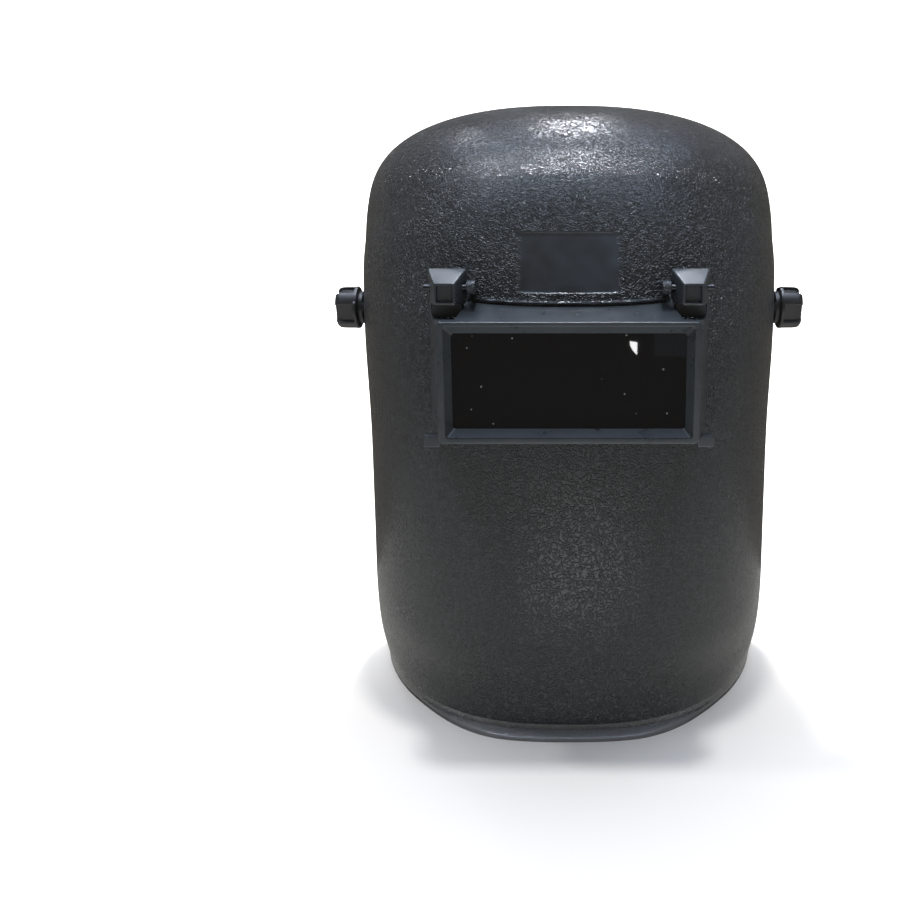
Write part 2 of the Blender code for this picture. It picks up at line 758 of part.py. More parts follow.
def arm_face():
    """The harness arm's outer face, clear of the wall where its nose turns."""
    return shell_side(PIVOT_SETBACK - ARM_NOSE * 1.4, PIVOT_Z) - WALL - ARM_WALL_GAP


def headband(look):
    """A closed strip round the head with an arm out to each pivot."""
    steps = 64
    angle = np.linspace(0, 2 * math.pi, steps, endpoint=False)
    bend = 2 / 2.2
    across = BAND_HALF_WIDTH * np.sign(np.cos(angle)) * np.abs(np.cos(angle)) ** bend
    back = BAND_SETBACK + BAND_HALF_LENGTH * np.sign(np.sin(angle)) * np.abs(np.sin(angle)) ** bend
    bm = bmesh.new()
    lower = [bm.verts.new((x, y, PIVOT_Z - BAND_HEIGHT / 2)) for x, y in zip(across, back)]
    upper = [bm.verts.new((x, y, PIVOT_Z + BAND_HEIGHT / 2)) for x, y in zip(across, back)]
    for i in range(steps):
        j = (i + 1) % steps
        bm.faces.new((lower[i], lower[j], upper[j], upper[i]))
    mesh = bpy.data.meshes.new("headband")
    bm.to_mesh(mesh)
    bm.free()
    smooth(mesh)
    band = add_part("headband", mesh, look)
    solidify(band, BAND_THICK)
    for side in (-1, 1):
        boolean(band, harness_arm(side), "UNION")
    bore = add_cutter("arm_bore", rod_mesh(
        "arm_bore", STUD_RADIUS + GAP, -SHELL_WIDTH / 2, SHELL_WIDTH / 2, PIVOT_SETBACK, PIVOT_Z))
    boolean(band, bore)
    return band


def harness_arm(side):
    """A strip that leaves the band tangentially and sweeps out to the pivot."""
    name = "arm_" + ("right" if side > 0 else "left")
    share = np.linspace(0, 1, 9)
    ease = share ** 2 * (3 - 2 * share)
    out = BAND_HALF_WIDTH - BAND_THICK + ease * (arm_face() - BAND_HALF_WIDTH + BAND_THICK)
    back = PIVOT_SETBACK + ARM_NOSE + ARM_REACH * (1 - share)
    out = np.append(out, arm_face())
    back = np.append(back, PIVOT_SETBACK - ARM_NOSE)
    low = np.stack([side * out, back, np.full(len(out), PIVOT_Z - ARM_HEIGHT / 2)], axis=-1)
    high = np.stack([side * out, back, np.full(len(out), PIVOT_Z + ARM_HEIGHT / 2)], axis=-1)
    pair = (low, high) if side < 0 else (high, low)
    arm = add_cutter(name, grid_mesh(name, np.stack(pair)))
    solidify(arm, ARM_THICK)
    return arm


def crown_strap(look):
    """A strip over the head from one side of the band to the other."""
    angle = np.linspace(0, math.pi, 25)
    bend = 2 / 2.3
    foot = PIVOT_Z + BAND_HEIGHT / 2 + GAP
    radius = BAND_HALF_WIDTH
    across = radius * np.sign(np.cos(angle)) * np.abs(np.cos(angle)) ** bend
    up = foot + (CROWN_RISE - BAND_HEIGHT / 2) * np.sin(angle) ** bend
    middle = BAND_SETBACK
    front = np.stack([across, np.full(25, middle - CROWN_WIDTH / 2), up], axis=-1)
    rear = np.stack([across, np.full(25, middle + CROWN_WIDTH / 2), up], axis=-1)
    strap = add_part("crown_strap", grid_mesh("crown_strap", np.stack([rear, front])), look)
    solidify(strap, CROWN_THICK)
    return strap


def carrier(name, parent, point):
    """An empty on a joint's axis, which carries the pieces that turn about it."""
    empty = bpy.data.objects.new(name, None)
    empty.location = point
    empty.empty_display_size = SHELL_WIDTH / 10
    empty.parent = parent
    PARTS.objects.link(empty)
    return empty


def hang(obj, empty, point):
    """Put a piece on its carrier: its origin goes to the carrier's point, or stays on the
    same axis where the piece is turned about its own origin."""
    if obj.location.length > 0:
        obj.location -= Vector(point)
    else:
        obj.data.transform(Matrix.Translation([-value for value in point]))
    obj.parent = empty


def build():
    shell_plastic = material("black moulded plastic", (0.030, 0.032, 0.034), 0.45)
    frame_plastic = material("charcoal moulded plastic", (0.040, 0.043, 0.047), 0.42)
    knob_plastic = material("glossy black plastic", (0.012, 0.012, 0.013), 0.28)
    harness_plastic = material("harness plastic", (0.020, 0.020, 0.021), 0.5)
    dark_glass = material("dark filter glass", (0.004, 0.004, 0.004), 0.05)
    steel = material("zinc plated steel", (0.55, 0.55, 0.56), 0.3, 1.0)

    shell = helmet_shell(shell_plastic)
    front = [lens_frame(frame_plastic), filter_glass(dark_glass), lens_retainer(frame_plastic)]
    harness = [headband(harness_plastic), crown_strap(harness_plastic)]
    pins = []
    knobs = []
    for side in (-1, 1):
        front.append(hinge_block(side, frame_plastic))
        pins.append(hinge_pin(side, steel))
        harness.append(pivot_stud(side, steel))
        knobs.append(knob(side, knob_plastic))

    back = BAND_SETBACK + BAND_HALF_LENGTH
    datum = carrier("helmet_datum", None, (0, (FRAME_STANDOFF - back) / 2, 0))
    hinge = (0, HINGE_SETBACK - FRAME_STANDOFF, HINGE_Z)
    pivot = (0, PIVOT_SETBACK, PIVOT_Z)
    lift = carrier("lift_front_axis", datum, hinge)
    tilt = carrier("head_harness_axis", datum, pivot)
    for obj in [shell, *pins]:
        hang(obj, datum, (0, 0, 0))
    for obj in front:
        hang(obj, lift, hinge)
    for obj in harness + knobs:
        hang(obj, tilt, pivot)
    for cutter in list(CUTTERS.objects):
        cutter.parent = datum


build()
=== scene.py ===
# Looks of the lift-front welding helmet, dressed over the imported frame.
# Metres, +Z up, the lens faces -Y. Every shape is a surface worked out with numpy.
import math

import bmesh
import bpy
import numpy as np
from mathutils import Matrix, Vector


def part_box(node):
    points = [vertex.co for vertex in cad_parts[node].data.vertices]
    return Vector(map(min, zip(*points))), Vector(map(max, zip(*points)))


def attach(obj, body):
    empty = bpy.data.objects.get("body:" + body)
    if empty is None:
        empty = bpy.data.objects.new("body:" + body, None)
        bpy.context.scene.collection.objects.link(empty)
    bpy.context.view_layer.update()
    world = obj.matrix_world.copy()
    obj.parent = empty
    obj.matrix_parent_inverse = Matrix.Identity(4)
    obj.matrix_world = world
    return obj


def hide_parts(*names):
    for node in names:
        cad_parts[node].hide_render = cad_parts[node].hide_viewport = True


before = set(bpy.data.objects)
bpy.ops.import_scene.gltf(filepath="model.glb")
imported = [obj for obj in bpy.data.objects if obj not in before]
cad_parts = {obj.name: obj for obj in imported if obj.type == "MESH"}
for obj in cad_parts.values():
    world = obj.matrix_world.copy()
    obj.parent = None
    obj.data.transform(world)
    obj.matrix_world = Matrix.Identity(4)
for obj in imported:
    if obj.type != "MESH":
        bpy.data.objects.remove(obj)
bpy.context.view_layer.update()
print("frame loaded:", len(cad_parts), "nodes")

millimetre = 0.001
datumY = float(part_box("helmet_shell")[0].y)   # the plane that touches the shell's front


# Mesh helpers

def gridFaces(rows, columns, closeRows=False, closeColumns=False):
    # quads between neighbouring rows and columns, wrapping round where asked
    rowIndex = np.arange(rows if closeRows else rows - 1)
    columnIndex = np.arange(columns if closeColumns else columns - 1)
    near = rowIndex[:, None] * columns
    far = ((rowIndex + 1) % rows)[:, None] * columns
    here = columnIndex[None, :]
    nextOne = (columnIndex[None, :] + 1) % columns
    return np.stack([near + here, near + nextOne, far + nextOne, far + here], -1).reshape(-1, 4)


def meshFrom(name, points, faces):
    # a mesh whose faces are turned outwards
    mesh = bpy.data.meshes.new(name)
    mesh.from_pydata(points.reshape(-1, 3).tolist(), [], [list(map(int, face)) for face in faces])
    work = bmesh.new()
    work.from_mesh(mesh)
    bmesh.ops.recalc_face_normals(work, faces=work.faces)
    work.to_mesh(mesh)
    work.free()
    return mesh


def addPiece(name, mesh):
    piece = bpy.data.objects.new(name, mesh)
    bpy.context.scene.collection.objects.link(piece)
    return piece


def ringSolid(name, rings, closed=False):
    # rings[k, m] is point m of ring k; the first and last ring are filled unless closed
    count, around = rings.shape[:2]
    faces = gridFaces(count, around, closeRows=closed, closeColumns=True).tolist()
    if not closed:
        faces.append(list(range(around)))
        faces.append([(count - 1) * around + m for m in range(around)])
    return addPiece(name, meshFrom(name, rings, faces))


def bakeModifiers(piece):
    bpy.context.view_layer.update()
    seen = piece.evaluated_get(bpy.context.evaluated_depsgraph_get())
    baked = bpy.data.meshes.new_from_object(seen)
    piece.modifiers.clear()
    piece.data = baked
    return piece


def combine(piece, other, operation):
    # joins or cuts two closed pieces and removes the second one
    step = piece.modifiers.new("cut", "BOOLEAN")
    step.operation = operation
    step.solver = "EXACT"
    step.object = other
    bakeModifiers(piece)
    bpy.data.objects.remove(other, do_unlink=True)
    return piece


def smoothShade(piece, degrees=34, weighted=True):
    piece.data.shade_smooth()
    piece.data.set_sharp_from_angle(angle=math.radians(degrees))
    if weighted:
        step = piece.modifiers.new("flat faces stay flat", "WEIGHTED_NORMAL")
        step.keep_sharp = True
        step.weight = 80
        bakeModifiers(piece)
    return piece


def smoothStep(low, high, value):
    share = np.clip((value - low) / (high - low), 0, 1)
    return share * share * (3 - 2 * share)


# A rounded rectangle's outline, as weights of its half sides and its corner radius:
# x = side * (width / 2 - radius) + corner * radius, and the same for z.
def outlineWeights(alongX, alongZ, cornerSteps):
    angle = np.linspace(0, math.pi / 2, cornerSteps + 1)
    parts = []
    for turn, (sideX, sideZ) in enumerate(((1, 1), (-1, 1), (-1, -1), (1, -1))):
        nextX, nextZ = ((-1, 1), (-1, -1), (1, -1), (1, 1))[turn]
        bend = angle + turn * math.pi / 2
        ones = np.ones_like(bend)
        parts.append(np.stack([ones * sideX, ones * sideZ, np.cos(bend), np.sin(bend)], -1))
        steps = alongX if turn % 2 == 0 else alongZ
        share = np.linspace(0, 1, steps + 2)[1:-1]
        straight = np.ones_like(share)
        parts.append(np.stack([sideX + (nextX - sideX) * share, sideZ + (nextZ - sideZ) * share,
                               straight * np.cos(bend[-1]), straight * np.sin(bend[-1])], -1))
    return np.concatenate(parts).T


def outlineRing(weights, width, height, radius, x=0.0, y=0.0, z=0.0):
    sideX, sideZ, cornerX, cornerZ = weights
    across = x + sideX * (width / 2 - radius) + cornerX * radius
    up = z + sideZ * (height / 2 - radius) + cornerZ * radius
    return np.stack([across, np.broadcast_to(y, across.shape), up], -1)


# The shell's surface: sections from the centre line to the back edge, between stations

shellForm = {
    "height": 0.298, "width": 0.2205, "depth": 0.154, "wall": 0.0025,
    "lipWidth": 0.007, "lipBend": 0.8, "lipFadeFrom": 0.26, "lipFadeTo": 0.71, "lipRows": 13,
    "rows": 150, "columns": 215, "rimRound": 0.0007,
    "windowZ": 0.1722, "windowWidth": 0.104, "windowHeight": 0.045, "windowRadius": 0.004,
    "plateWidth": 0.044, "plateHeight": 0.026, "plateZ": 0.2215, "plateDepth": 0.0006,
    "plateRadius": 0.0025, "plateEdge": 0.0005, "plateRim": 0.0001,
    "beadWidth": 0.0815, "beadHeight": 0.0013, "beadProud": 0.0009, "beadGap": 0.0006,
    "pivotSetback": 0.116, "pivotZ": 0.194, "pivotRadius": 0.0033,
    # how far back the front's details reach, and between which planes the cutters run
    "frontPart": 0.03, "windowCut": (-0.03, 0.06), "pivotCut": (0.09, 0.12), "footBand": 0.0022,
}

# one column of each value, chin to top rim: shares of height, depth and half width, and
# the superellipse exponents across and back
stations = {
    "height": [0.0095, 0.067, 0.151, 0.302, 0.470, 0.621, 0.711, 0.792, 0.859, 0.913, 0.953,
               0.980, 0.995, 1.000],
    "depth": [0.050, 0.030, 0.010, 0.000, 0.004, 0.020, 0.046, 0.095, 0.162, 0.258, 0.385,
              0.525, 0.680, 0.830],
    "edgeHeight": [0.0095, 0.067, 0.151, 0.295, 0.443, 0.570, 0.640, 0.685, 0.718, 0.745, 0.768,
                   0.789, 0.805, 0.819],
    "edgeDepth": [0.800, 0.800, 0.855, 0.930, 0.980, 0.998, 1.000, 0.998, 0.994, 0.988, 0.981,
                  0.973, 0.966, 0.959],
    "width": [0.946, 0.980, 0.990, 0.987, 0.990, 1.000, 1.000, 1.000, 0.999, 0.998, 0.997,
              0.995, 0.993, 0.990],
    "nose": [2.70, 2.05, 2.15, 2.35, 2.45, 2.55, 2.60, 2.60, 2.38, 2.38, 2.38, 2.38, 2.38, 2.38],
    "cheek": [1.50, 1.70, 2.05, 2.35, 2.45, 2.55, 2.60, 2.60, 2.50, 2.50, 2.50, 2.50, 2.50, 2.50],
}


def betweenStations(share):
    # Catmull-Rom curve through the stations, one column of values for each share
    table = np.array(list(stations.values())).T
    place = np.clip(share * (len(table) - 1), 0, len(table) - 1 - 1e-9)
    index = place.astype(int)
    t = (place - index)[:, None]
    padded = np.vstack([2 * table[0] - table[1], table, 2 * table[-1] - table[-2]])
    before, start, end, after = (padded[index + k] for k in range(4))
    values = 0.5 * (2 * start + (end - before) * t
                    + (2 * before - 5 * start + 4 * end - after) * t ** 2
                    + (3 * start - before - 3 * end + after) * t ** 3)
    return dict(zip(stations, values.T))


def shellSurface(shares, alongs):
    # row: across = half width * sin(a)^(2/nose), back = 1 - cos(a)^(2/cheek), a from 0 to 90
    # degrees, spaced evenly along its length; alongs below 0 are the mirrored half
    at = betweenStations(shares)
    angle = np.linspace(0, math.pi / 2, 500)[None, :]
    across = (at["width"] * shellForm["width"] / 2)[:, None] * np.sin(angle) ** (
        2 / at["nose"][:, None])
    back = 1 - np.clip(np.cos(angle), 0, 1) ** (2 / at["cheek"][:, None])
    centre = np.stack([at["depth"] * shellForm["depth"], at["height"] * shellForm["height"]], -1)
    edge = np.stack([at["edgeDepth"] * shellForm["depth"],
                     at["edgeHeight"] * shellForm["height"]], -1)
    reach = np.linalg.norm(edge - centre, axis=1)[:, None]
    run = np.hypot(np.diff(across, axis=1), np.diff(back, axis=1) * reach)
    length = np.concatenate([np.zeros((len(run), 1)), np.cumsum(run, 1)], 1)
    length /= length[:, -1:]
    wanted = np.abs(alongs)
    x = np.stack([np.interp(wanted, l, a) for l, a in zip(length, across)]) * np.sign(alongs)
    s = np.stack([np.interp(wanted, l, b) for l, b in zip(length, back)])
    y = centre[:, :1] + s * (edge - centre)[:, :1]
    z = centre[:, 1:] + s * (edge - centre)[:, 1:]
    return np.stack([x, y + datumY, z], -1)


def frontDepthTable():
    # y of the outer surface over a regular grid of |x| and z, seen from the front
    shares = np.linspace(0, 1, 400)
    points = shellSurface(shares, np.linspace(0, 1, 400))
    xs = np.linspace(0, 0.098, 197)
    zs = np.linspace(0.0055, 0.284, 400)
    yOfX = np.stack([np.interp(xs, row[:, 0], row[:, 1]) for row in points])
    zOfX = np.stack([np.interp(xs, row[:, 0], row[:, 2]) for row in points])
    return xs, zs, np.stack([np.interp(zs, zOfX[:, i], yOfX[:, i]) for i in range(len(xs))])


depthXs, depthZs, depthYs = frontDepthTable()


def frontDepth(x, z):
    # y of the outer surface at places seen from the front, between the table's entries
    u = np.clip((np.abs(x) - depthXs[0]) / (depthXs[1] - depthXs[0]), 0, len(depthXs) - 1.001)
    v = np.clip((z - depthZs[0]) / (depthZs[1] - depthZs[0]), 0, len(depthZs) - 1.001)
    i, j = u.astype(int), v.astype(int)
    fu, fv = u - i, v - j
    return ((1 - fu) * (1 - fv) * depthYs[i, j] + fu * (1 - fv) * depthYs[i + 1, j]
            + (1 - fu) * fv * depthYs[i, j + 1] + fu * fv * depthYs[i + 1, j + 1])


def sideReach(y, z):
    # how far out the side wall is at a place seen from the side
    points = shellSurface(np.linspace(0.1, 0.95, 200), np.linspace(0.3, 1, 200)).reshape(-1, 3)
    near = np.argsort(np.hypot(points[:, 1] - y, points[:, 2] - z))[:4]
    return float(points[near, 0].mean())


# The lens frame's sizes are needed for the bead above it, so they come before the shell.

liftFrameForm = {
    "lensWidth": 0.108, "lensHeight": 0.050, "standoff": 0.012, "seat": 0.0054, "gap": 0.0003,
    "sideWall": 0.0026, "topWall": 0.0019,
    "sideDraft": math.radians(12.5), "topDraft": math.radians(17),
    "bottomDraft": math.radians(10),
    "landSide": 0.0029, "landTop": 0.0021, "step": 0.001, "radius": 0.0025,
    "backRadius": 0.005, "viewWidth": 0.100, "viewHeight": 0.041, "shellGap": 0.0005,
    "edgeRound": 0.0006, "innerRound": 0.00035,
    "tabReach": 0.0072, "tabHeight": 0.0060, "tabDepth": 0.0045, "tabRound": 0.0006,
}


def frameWidthAt(depth):
    form = liftFrameForm
    side = form["gap"] + form["sideWall"] / math.cos(form["sideDraft"])
    run = depth - form["seat"] - form["gap"]
    return form["lensWidth"] + 2 * (side + run * math.tan(form["sideDraft"]))


def frameEdgeAt(depth, draft):
    form = liftFrameForm
    wall = form["gap"] + form["topWall"] / math.cos(draft)
    return form["lensHeight"] / 2 + wall + (depth - form["seat"] - form["gap"]) * math.tan(draft)


def frameTopAt(depth):
    return shellForm["windowZ"] + frameEdgeAt(depth, liftFrameForm["topDraft"])


def frameBottomAt(depth):
    return shellForm["windowZ"] - frameEdgeAt(depth, liftFrameForm["bottomDraft"])


# Shell

def crowdedShares(count, places):
    # shares of the way up whose rows crowd together round some heights
    form = np.linspace(0, 1, 4000)
    heights = betweenStations(form)["height"] * shellForm["height"]
    weight = np.ones_like(form) + 0.8 * smoothStep(0.75, 1.0, form)
    for height, spread, gain in places:
        weight += gain * np.exp(-((heights - height) / spread) ** 2)
    filled = np.cumsum(weight)
    filled = (filled - filled[0]) / (filled[-1] - filled[0])
    return np.interp(np.linspace(0, 1, count), filled, form)


def crowdedAlongs(count, places):
    # positions across whose columns crowd together round some distances from the middle
    form = np.linspace(-1, 1, 8001)
    across = np.abs(form) * 0.185
    weight = np.ones_like(form) + 0.9 * smoothStep(0.42, 0.62, np.abs(form))
    for distance, spread, gain in places:
        weight += gain * np.exp(-((across - distance) / spread) ** 2)
    filled = np.cumsum(weight)
    filled = (filled - filled[0]) / (filled[-1] - filled[0])
    made = np.interp(np.linspace(0, 1, count), filled, form)
    return (made - made[::-1]) / 2


def roundedBoxDistance(x, z, width, height, radius):
    # signed distance to a rounded rectangle, below 0 inside it
    dx = np.abs(x) - width / 2 + radius
    dz = np.abs(z) - height / 2 + radius
    beyond = np.hypot(np.maximum(dx, 0), np.maximum(dz, 0))
    return beyond + np.minimum(np.maximum(dx, dz), 0) - radius


def surfaceNormals(points):
    along = np.gradient(points, axis=1)
    up = np.gradient(points, axis=0)
    normal = np.cross(along, up)
    return normal / np.maximum(np.linalg.norm(normal, axis=-1, keepdims=True), 1e-12)


def lipRows(crease):
    # rows from the lip's foot on the floor, round its edge and in to the crease
    form = shellForm
    tangent = np.gradient(crease, axis=0)
    outward = np.stack([tangent[:, 1], -tangent[:, 0], np.zeros(len(crease))], -1)
    outward /= np.linalg.norm(outward, axis=1, keepdims=True)
    share = np.abs(crease[:, 0]) / (form["width"] / 2)
    width = form["lipWidth"] * (1 - smoothStep(form["lipFadeFrom"], form["lipFadeTo"], share))
    # quarter round: out = cos(a)^bend of the width, height = sin(a)^bend of the crease's
    rows, inner = [], []
    for angle in np.linspace(0, math.pi / 2, form["lipRows"] + 1)[:-1]:
        out = math.cos(angle) ** form["lipBend"]
        height = crease[:, 2] * (math.sin(angle) ** form["lipBend"] - 1)
        reach = -form["wall"] + (width + form["wall"]) * out * 0.93
        rows.append(crease + outward * (width * out)[:, None] + [0, 0, 1] * height[:, None])
        inner.append(crease + outward * reach[:, None] - [0, 0, 1] * crease[:, 2:])
    return np.stack(rows), np.stack(inner), outward


def shellPiece():
    form = shellForm
    plateLow = form["plateZ"] - form["plateHeight"] / 2
    plateHigh = form["plateZ"] + form["plateHeight"] / 2
    beadZ = frameTopAt(0.018) + form["beadGap"] + form["beadHeight"] / 2
    shares = crowdedShares(form["rows"], [
        (plateLow, 0.0012, 5.0), (plateHigh, 0.0012, 5.0), (beadZ, 0.0035, 4.0)])
    alongs = crowdedAlongs(form["columns"], [
        (form["plateWidth"] / 2, 0.0012, 3.0), (form["beadWidth"] / 2, 0.0015, 1.5)])
    body = shellSurface(shares, alongs)
    normal = surfaceNormals(body)
    x, y, z = body[..., 0], body[..., 1], body[..., 2]
    front = y < datumY + form["frontPart"]

    # plate: a smooth floor let in by plateDepth, with a low raised rim
    fromPlate = roundedBoxDistance(x, z - form["plateZ"], form["plateWidth"],
                                   form["plateHeight"], form["plateRadius"])
    inPlate = smoothStep(0, -form["plateEdge"], fromPlate) * front
    rim = np.exp(-((fromPlate - 0.0005) / 0.0005) ** 2) * front
    # bead: a rounded rib that follows the frame's top face, with a gap between
    overFrame = z - frameTopAt(y - datumY + liftFrameForm["standoff"]) - form["beadGap"]
    rise = overFrame / form["beadHeight"]
    ends = smoothStep(form["beadWidth"] / 2, form["beadWidth"] / 2 - 0.0012, np.abs(x))
    bead = smoothStep(-0.12, 0.22, rise) * smoothStep(1.12, 0.70, rise) * ends * front
    lift = form["plateRim"] * rim + form["beadProud"] * bead - form["plateDepth"] * inPlate
    outer = body + normal * lift[..., None]
    inner = body - normal * form["wall"]

    lipOuter, lipInner, outward = lipRows(body[0])
    inner[0] = body[0] - outward * form["wall"]
    outer = np.concatenate([lipOuter, outer])
    inner = np.concatenate([lipInner, inner])
    inner[..., 2] = np.maximum(inner[..., 2], 0)
    grain = 1 - np.maximum(smoothStep(0.0004, -0.0002, fromPlate) * front, bead)
    grain = np.concatenate([np.zeros((len(lipOuter), len(alongs))), grain])
    grain[:len(lipOuter)] = smoothStep(2, len(lipOuter), np.arange(len(lipOuter)))[:, None] * 0.6

    rows, columns = outer.shape[:2]
    outerFaces = gridFaces(rows, columns)
    innerFaces = gridFaces(rows, columns)[:, ::-1] + rows * columns
    # the border runs along the floor, up the right edge, back over the top, down the left
    index = np.arange(rows * columns).reshape(rows, columns)
    border = np.concatenate([index[0, :-1], index[:-1, -1], index[-1, :0:-1], index[:0:-1, 0]])
    beside = np.concatenate([index[1, :-1], index[:-1, -2], index[-2, :0:-1], index[:0:-1, 1]])
    flatOuter, flatInner = outer.reshape(-1, 3), inner.reshape(-1, 3)
    rimOut = flatOuter[border] - flatOuter[beside]
    across = flatOuter[border] - flatInner[border]
    thick = np.maximum(np.linalg.norm(across, axis=1, keepdims=True), 1e-9)
    rimOut -= across / thick * np.sum(rimOut * across / thick, axis=1, keepdims=True)
    rimOut /= np.maximum(np.linalg.norm(rimOut, axis=1, keepdims=True), 1e-12)
    onFloor = (flatOuter[border][:, 2] < form["footBand"])[:, None]
    bulge = np.where(onFloor, 0, form["rimRound"])
    angles = np.array([0.16, 0.34, 0.5, 0.66, 0.84]) * math.pi
    middle = (flatOuter[border] + flatInner[border]) / 2
    rimRows = np.stack([middle + across / 2 * math.copysign(abs(math.cos(a)) ** 0.6, math.cos(a))
                        + rimOut * bulge * math.sin(a) ** 0.6 for a in angles])
    around = len(border)
    firstRim = 2 * rows * columns
    strips = np.concatenate([border[None, :],
                             firstRim + np.arange(len(angles) * around).reshape(-1, around),
                             border[None, :] + rows * columns])
    wrap = np.roll(strips, -1, axis=1)
    rimFaces = np.stack([strips[:-1], strips[1:], wrap[1:], wrap[:-1]], -1).reshape(-1, 4)
    points = np.concatenate([flatOuter, flatInner, rimRows.reshape(-1, 3)])
    mesh = meshFrom("faceShell", points, np.concatenate([outerFaces, innerFaces, rimFaces]))
    grainValues = np.concatenate([grain.reshape(-1), np.full(rows * columns, -1.0),
                                  np.zeros(rimRows.shape[0] * around)])
    layer = mesh.attributes.new("grain", "FLOAT", "POINT")
    layer.data.foreach_set("value", grainValues.astype(np.float32))
    shell = addPiece("faceShell", mesh)

    window = ringSolid("windowCutter", np.stack([
        outlineRing(outlineWeights(2, 2, 6), form["windowWidth"], form["windowHeight"],
                    form["windowRadius"], y=datumY + y, z=form["windowZ"])
        for y in form["windowCut"]]))
    combine(shell, window, "DIFFERENCE")
    for side in (-1, 1):
        profile = [(form["pivotRadius"], out) for out in form["pivotCut"]]
        combine(shell, turnedSolid("pivotCutter", profile, side, pivotPlace(), 32), "DIFFERENCE")
    return smoothShade(shell, 50, weighted=False)


# Turned pieces: a profile of radius and place carried round an axis along X

def turnedSolid(name, profile, side, place, steps=48):
    # point = (side * out, y + radius * cos, z + radius * sin)
    radius, out = np.array(profile, float).T
    turn = np.linspace(0, 2 * math.pi, steps, endpoint=False)
    x = np.broadcast_to((side * out)[:, None], (len(out), steps))
    y = place[0] + radius[:, None] * np.cos(turn)
    z = place[1] + radius[:, None] * np.sin(turn)
    return ringSolid(name, np.stack([x, y, z], -1))


def pivotPlace():
    return datumY + shellForm["pivotSetback"], shellForm["pivotZ"]


# Lens frame: a closed profile carried round a rounded rectangle

def liftFramePiece():
    form = liftFrameForm
    weights = outlineWeights(36, 18, 8)
    cosSide, cosTop = math.cos(form["sideDraft"]), math.cos(form["topDraft"])
    centreZ = shellForm["windowZ"]

    def outerRing(depth, inset=0.0, radius=None):
        top = frameTopAt(depth) - inset
        bottom = frameBottomAt(depth) + inset
        return outlineRing(weights, frameWidthAt(depth) - 2 * inset, top - bottom,
                           form["radius"] if radius is None else radius,
                           y=datumY - form["standoff"] + depth, z=(top + bottom) / 2)

    def viewRing(depth, width, height, radius=0.0015):
        return outlineRing(weights, width, height, radius,
                           y=datumY - form["standoff"] + depth, z=centreZ)

    def meetShell(ring, sideInset, topInset, margin):
        # slides each point back along the drafted wall until it meets the shell
        depth = np.full(ring.shape[0], 0.02)
        for _ in range(8):
            top = frameTopAt(depth) - topInset
            bottom = frameBottomAt(depth) + topInset
            radius = np.interp(depth, [0, 0.035], [form["radius"], form["backRadius"]])
            placed = outlineRing(weights, frameWidthAt(depth) - 2 * sideInset, top - bottom,
                                 radius, y=0.0, z=(top + bottom) / 2)
            depth = frontDepth(placed[:, 0], placed[:, 2]) - datumY + form["standoff"] - margin
        placed[:, 1] = datumY - form["standoff"] + depth
        return placed

    stepWidth = frameWidthAt(0) - 2 * form["landSide"]
    stepHeight = frameTopAt(0) - frameBottomAt(0) - 2 * form["landTop"]
    r = form["edgeRound"]
    i = form["innerRound"]
    slopeX = (stepWidth - form["viewWidth"]) / (form["seat"] - form["step"])
    slopeZ = (stepHeight - form["viewHeight"]) / (form["seat"] - form["step"])
    rings = [
        viewRing(form["seat"], form["viewWidth"] + i, form["viewHeight"] + i),
        viewRing(form["seat"] - i * 0.5, form["viewWidth"], form["viewHeight"]),
        viewRing(form["seat"] - i * 1.5, form["viewWidth"] + slopeX * i, form["viewHeight"]
                 + slopeZ * i),
        viewRing(form["step"] + i, stepWidth - slopeX * i, stepHeight - slopeZ * i),
        viewRing(form["step"] + i * 0.25, stepWidth - i * 0.5, stepHeight - i * 0.5),
        viewRing(form["step"], stepWidth, stepHeight),
        viewRing(i, stepWidth, stepHeight),
        viewRing(i * 0.3, stepWidth + i * 0.6, stepHeight + i * 0.6),
        viewRing(0, stepWidth + i * 2, stepHeight + i * 2),
    ]
    rings += [outerRing(r * (1 - math.cos(turn)), r * (1 - math.sin(turn)))
              for turn in np.linspace(0, math.pi / 2, 5)]
    outerBack = meetShell(rings[-1], 0, 0, form["shellGap"])
    innerBack = meetShell(rings[-1], form["sideWall"] / cosSide, form["topWall"] / cosTop,
                          form["shellGap"])
    front = rings[-1]
    for share in np.linspace(0, 1, 7)[1:]:
        rings.append(front + (outerBack - front) * share)
    rings.append(outerBack * 0.5 + innerBack * 0.5 + [0, 0.0002, 0])
    top = frameTopAt(form["seat"]) - form["topWall"] / cosTop
    bottom = frameBottomAt(form["seat"]) + form["topWall"] / cosTop
    seatRing = outlineRing(weights, frameWidthAt(form["seat"]) - 2 * form["sideWall"] / cosSide,
                           top - bottom, 0.001, y=datumY - form["standoff"] + form["seat"],
                           z=(top + bottom) / 2)
    for share in np.linspace(0, 1, 6)[:-1]:
        rings.append(innerBack + (seatRing - innerBack) * share)
    rings.append(seatRing)
    piece = ringSolid("liftFrame", np.stack(rings), closed=True)

    for side in (-1, 1):
        combine(piece, liftTab(side), "UNION")
        combine(piece, blockScoop(side), "DIFFERENCE")
    return smoothShade(piece, 38)


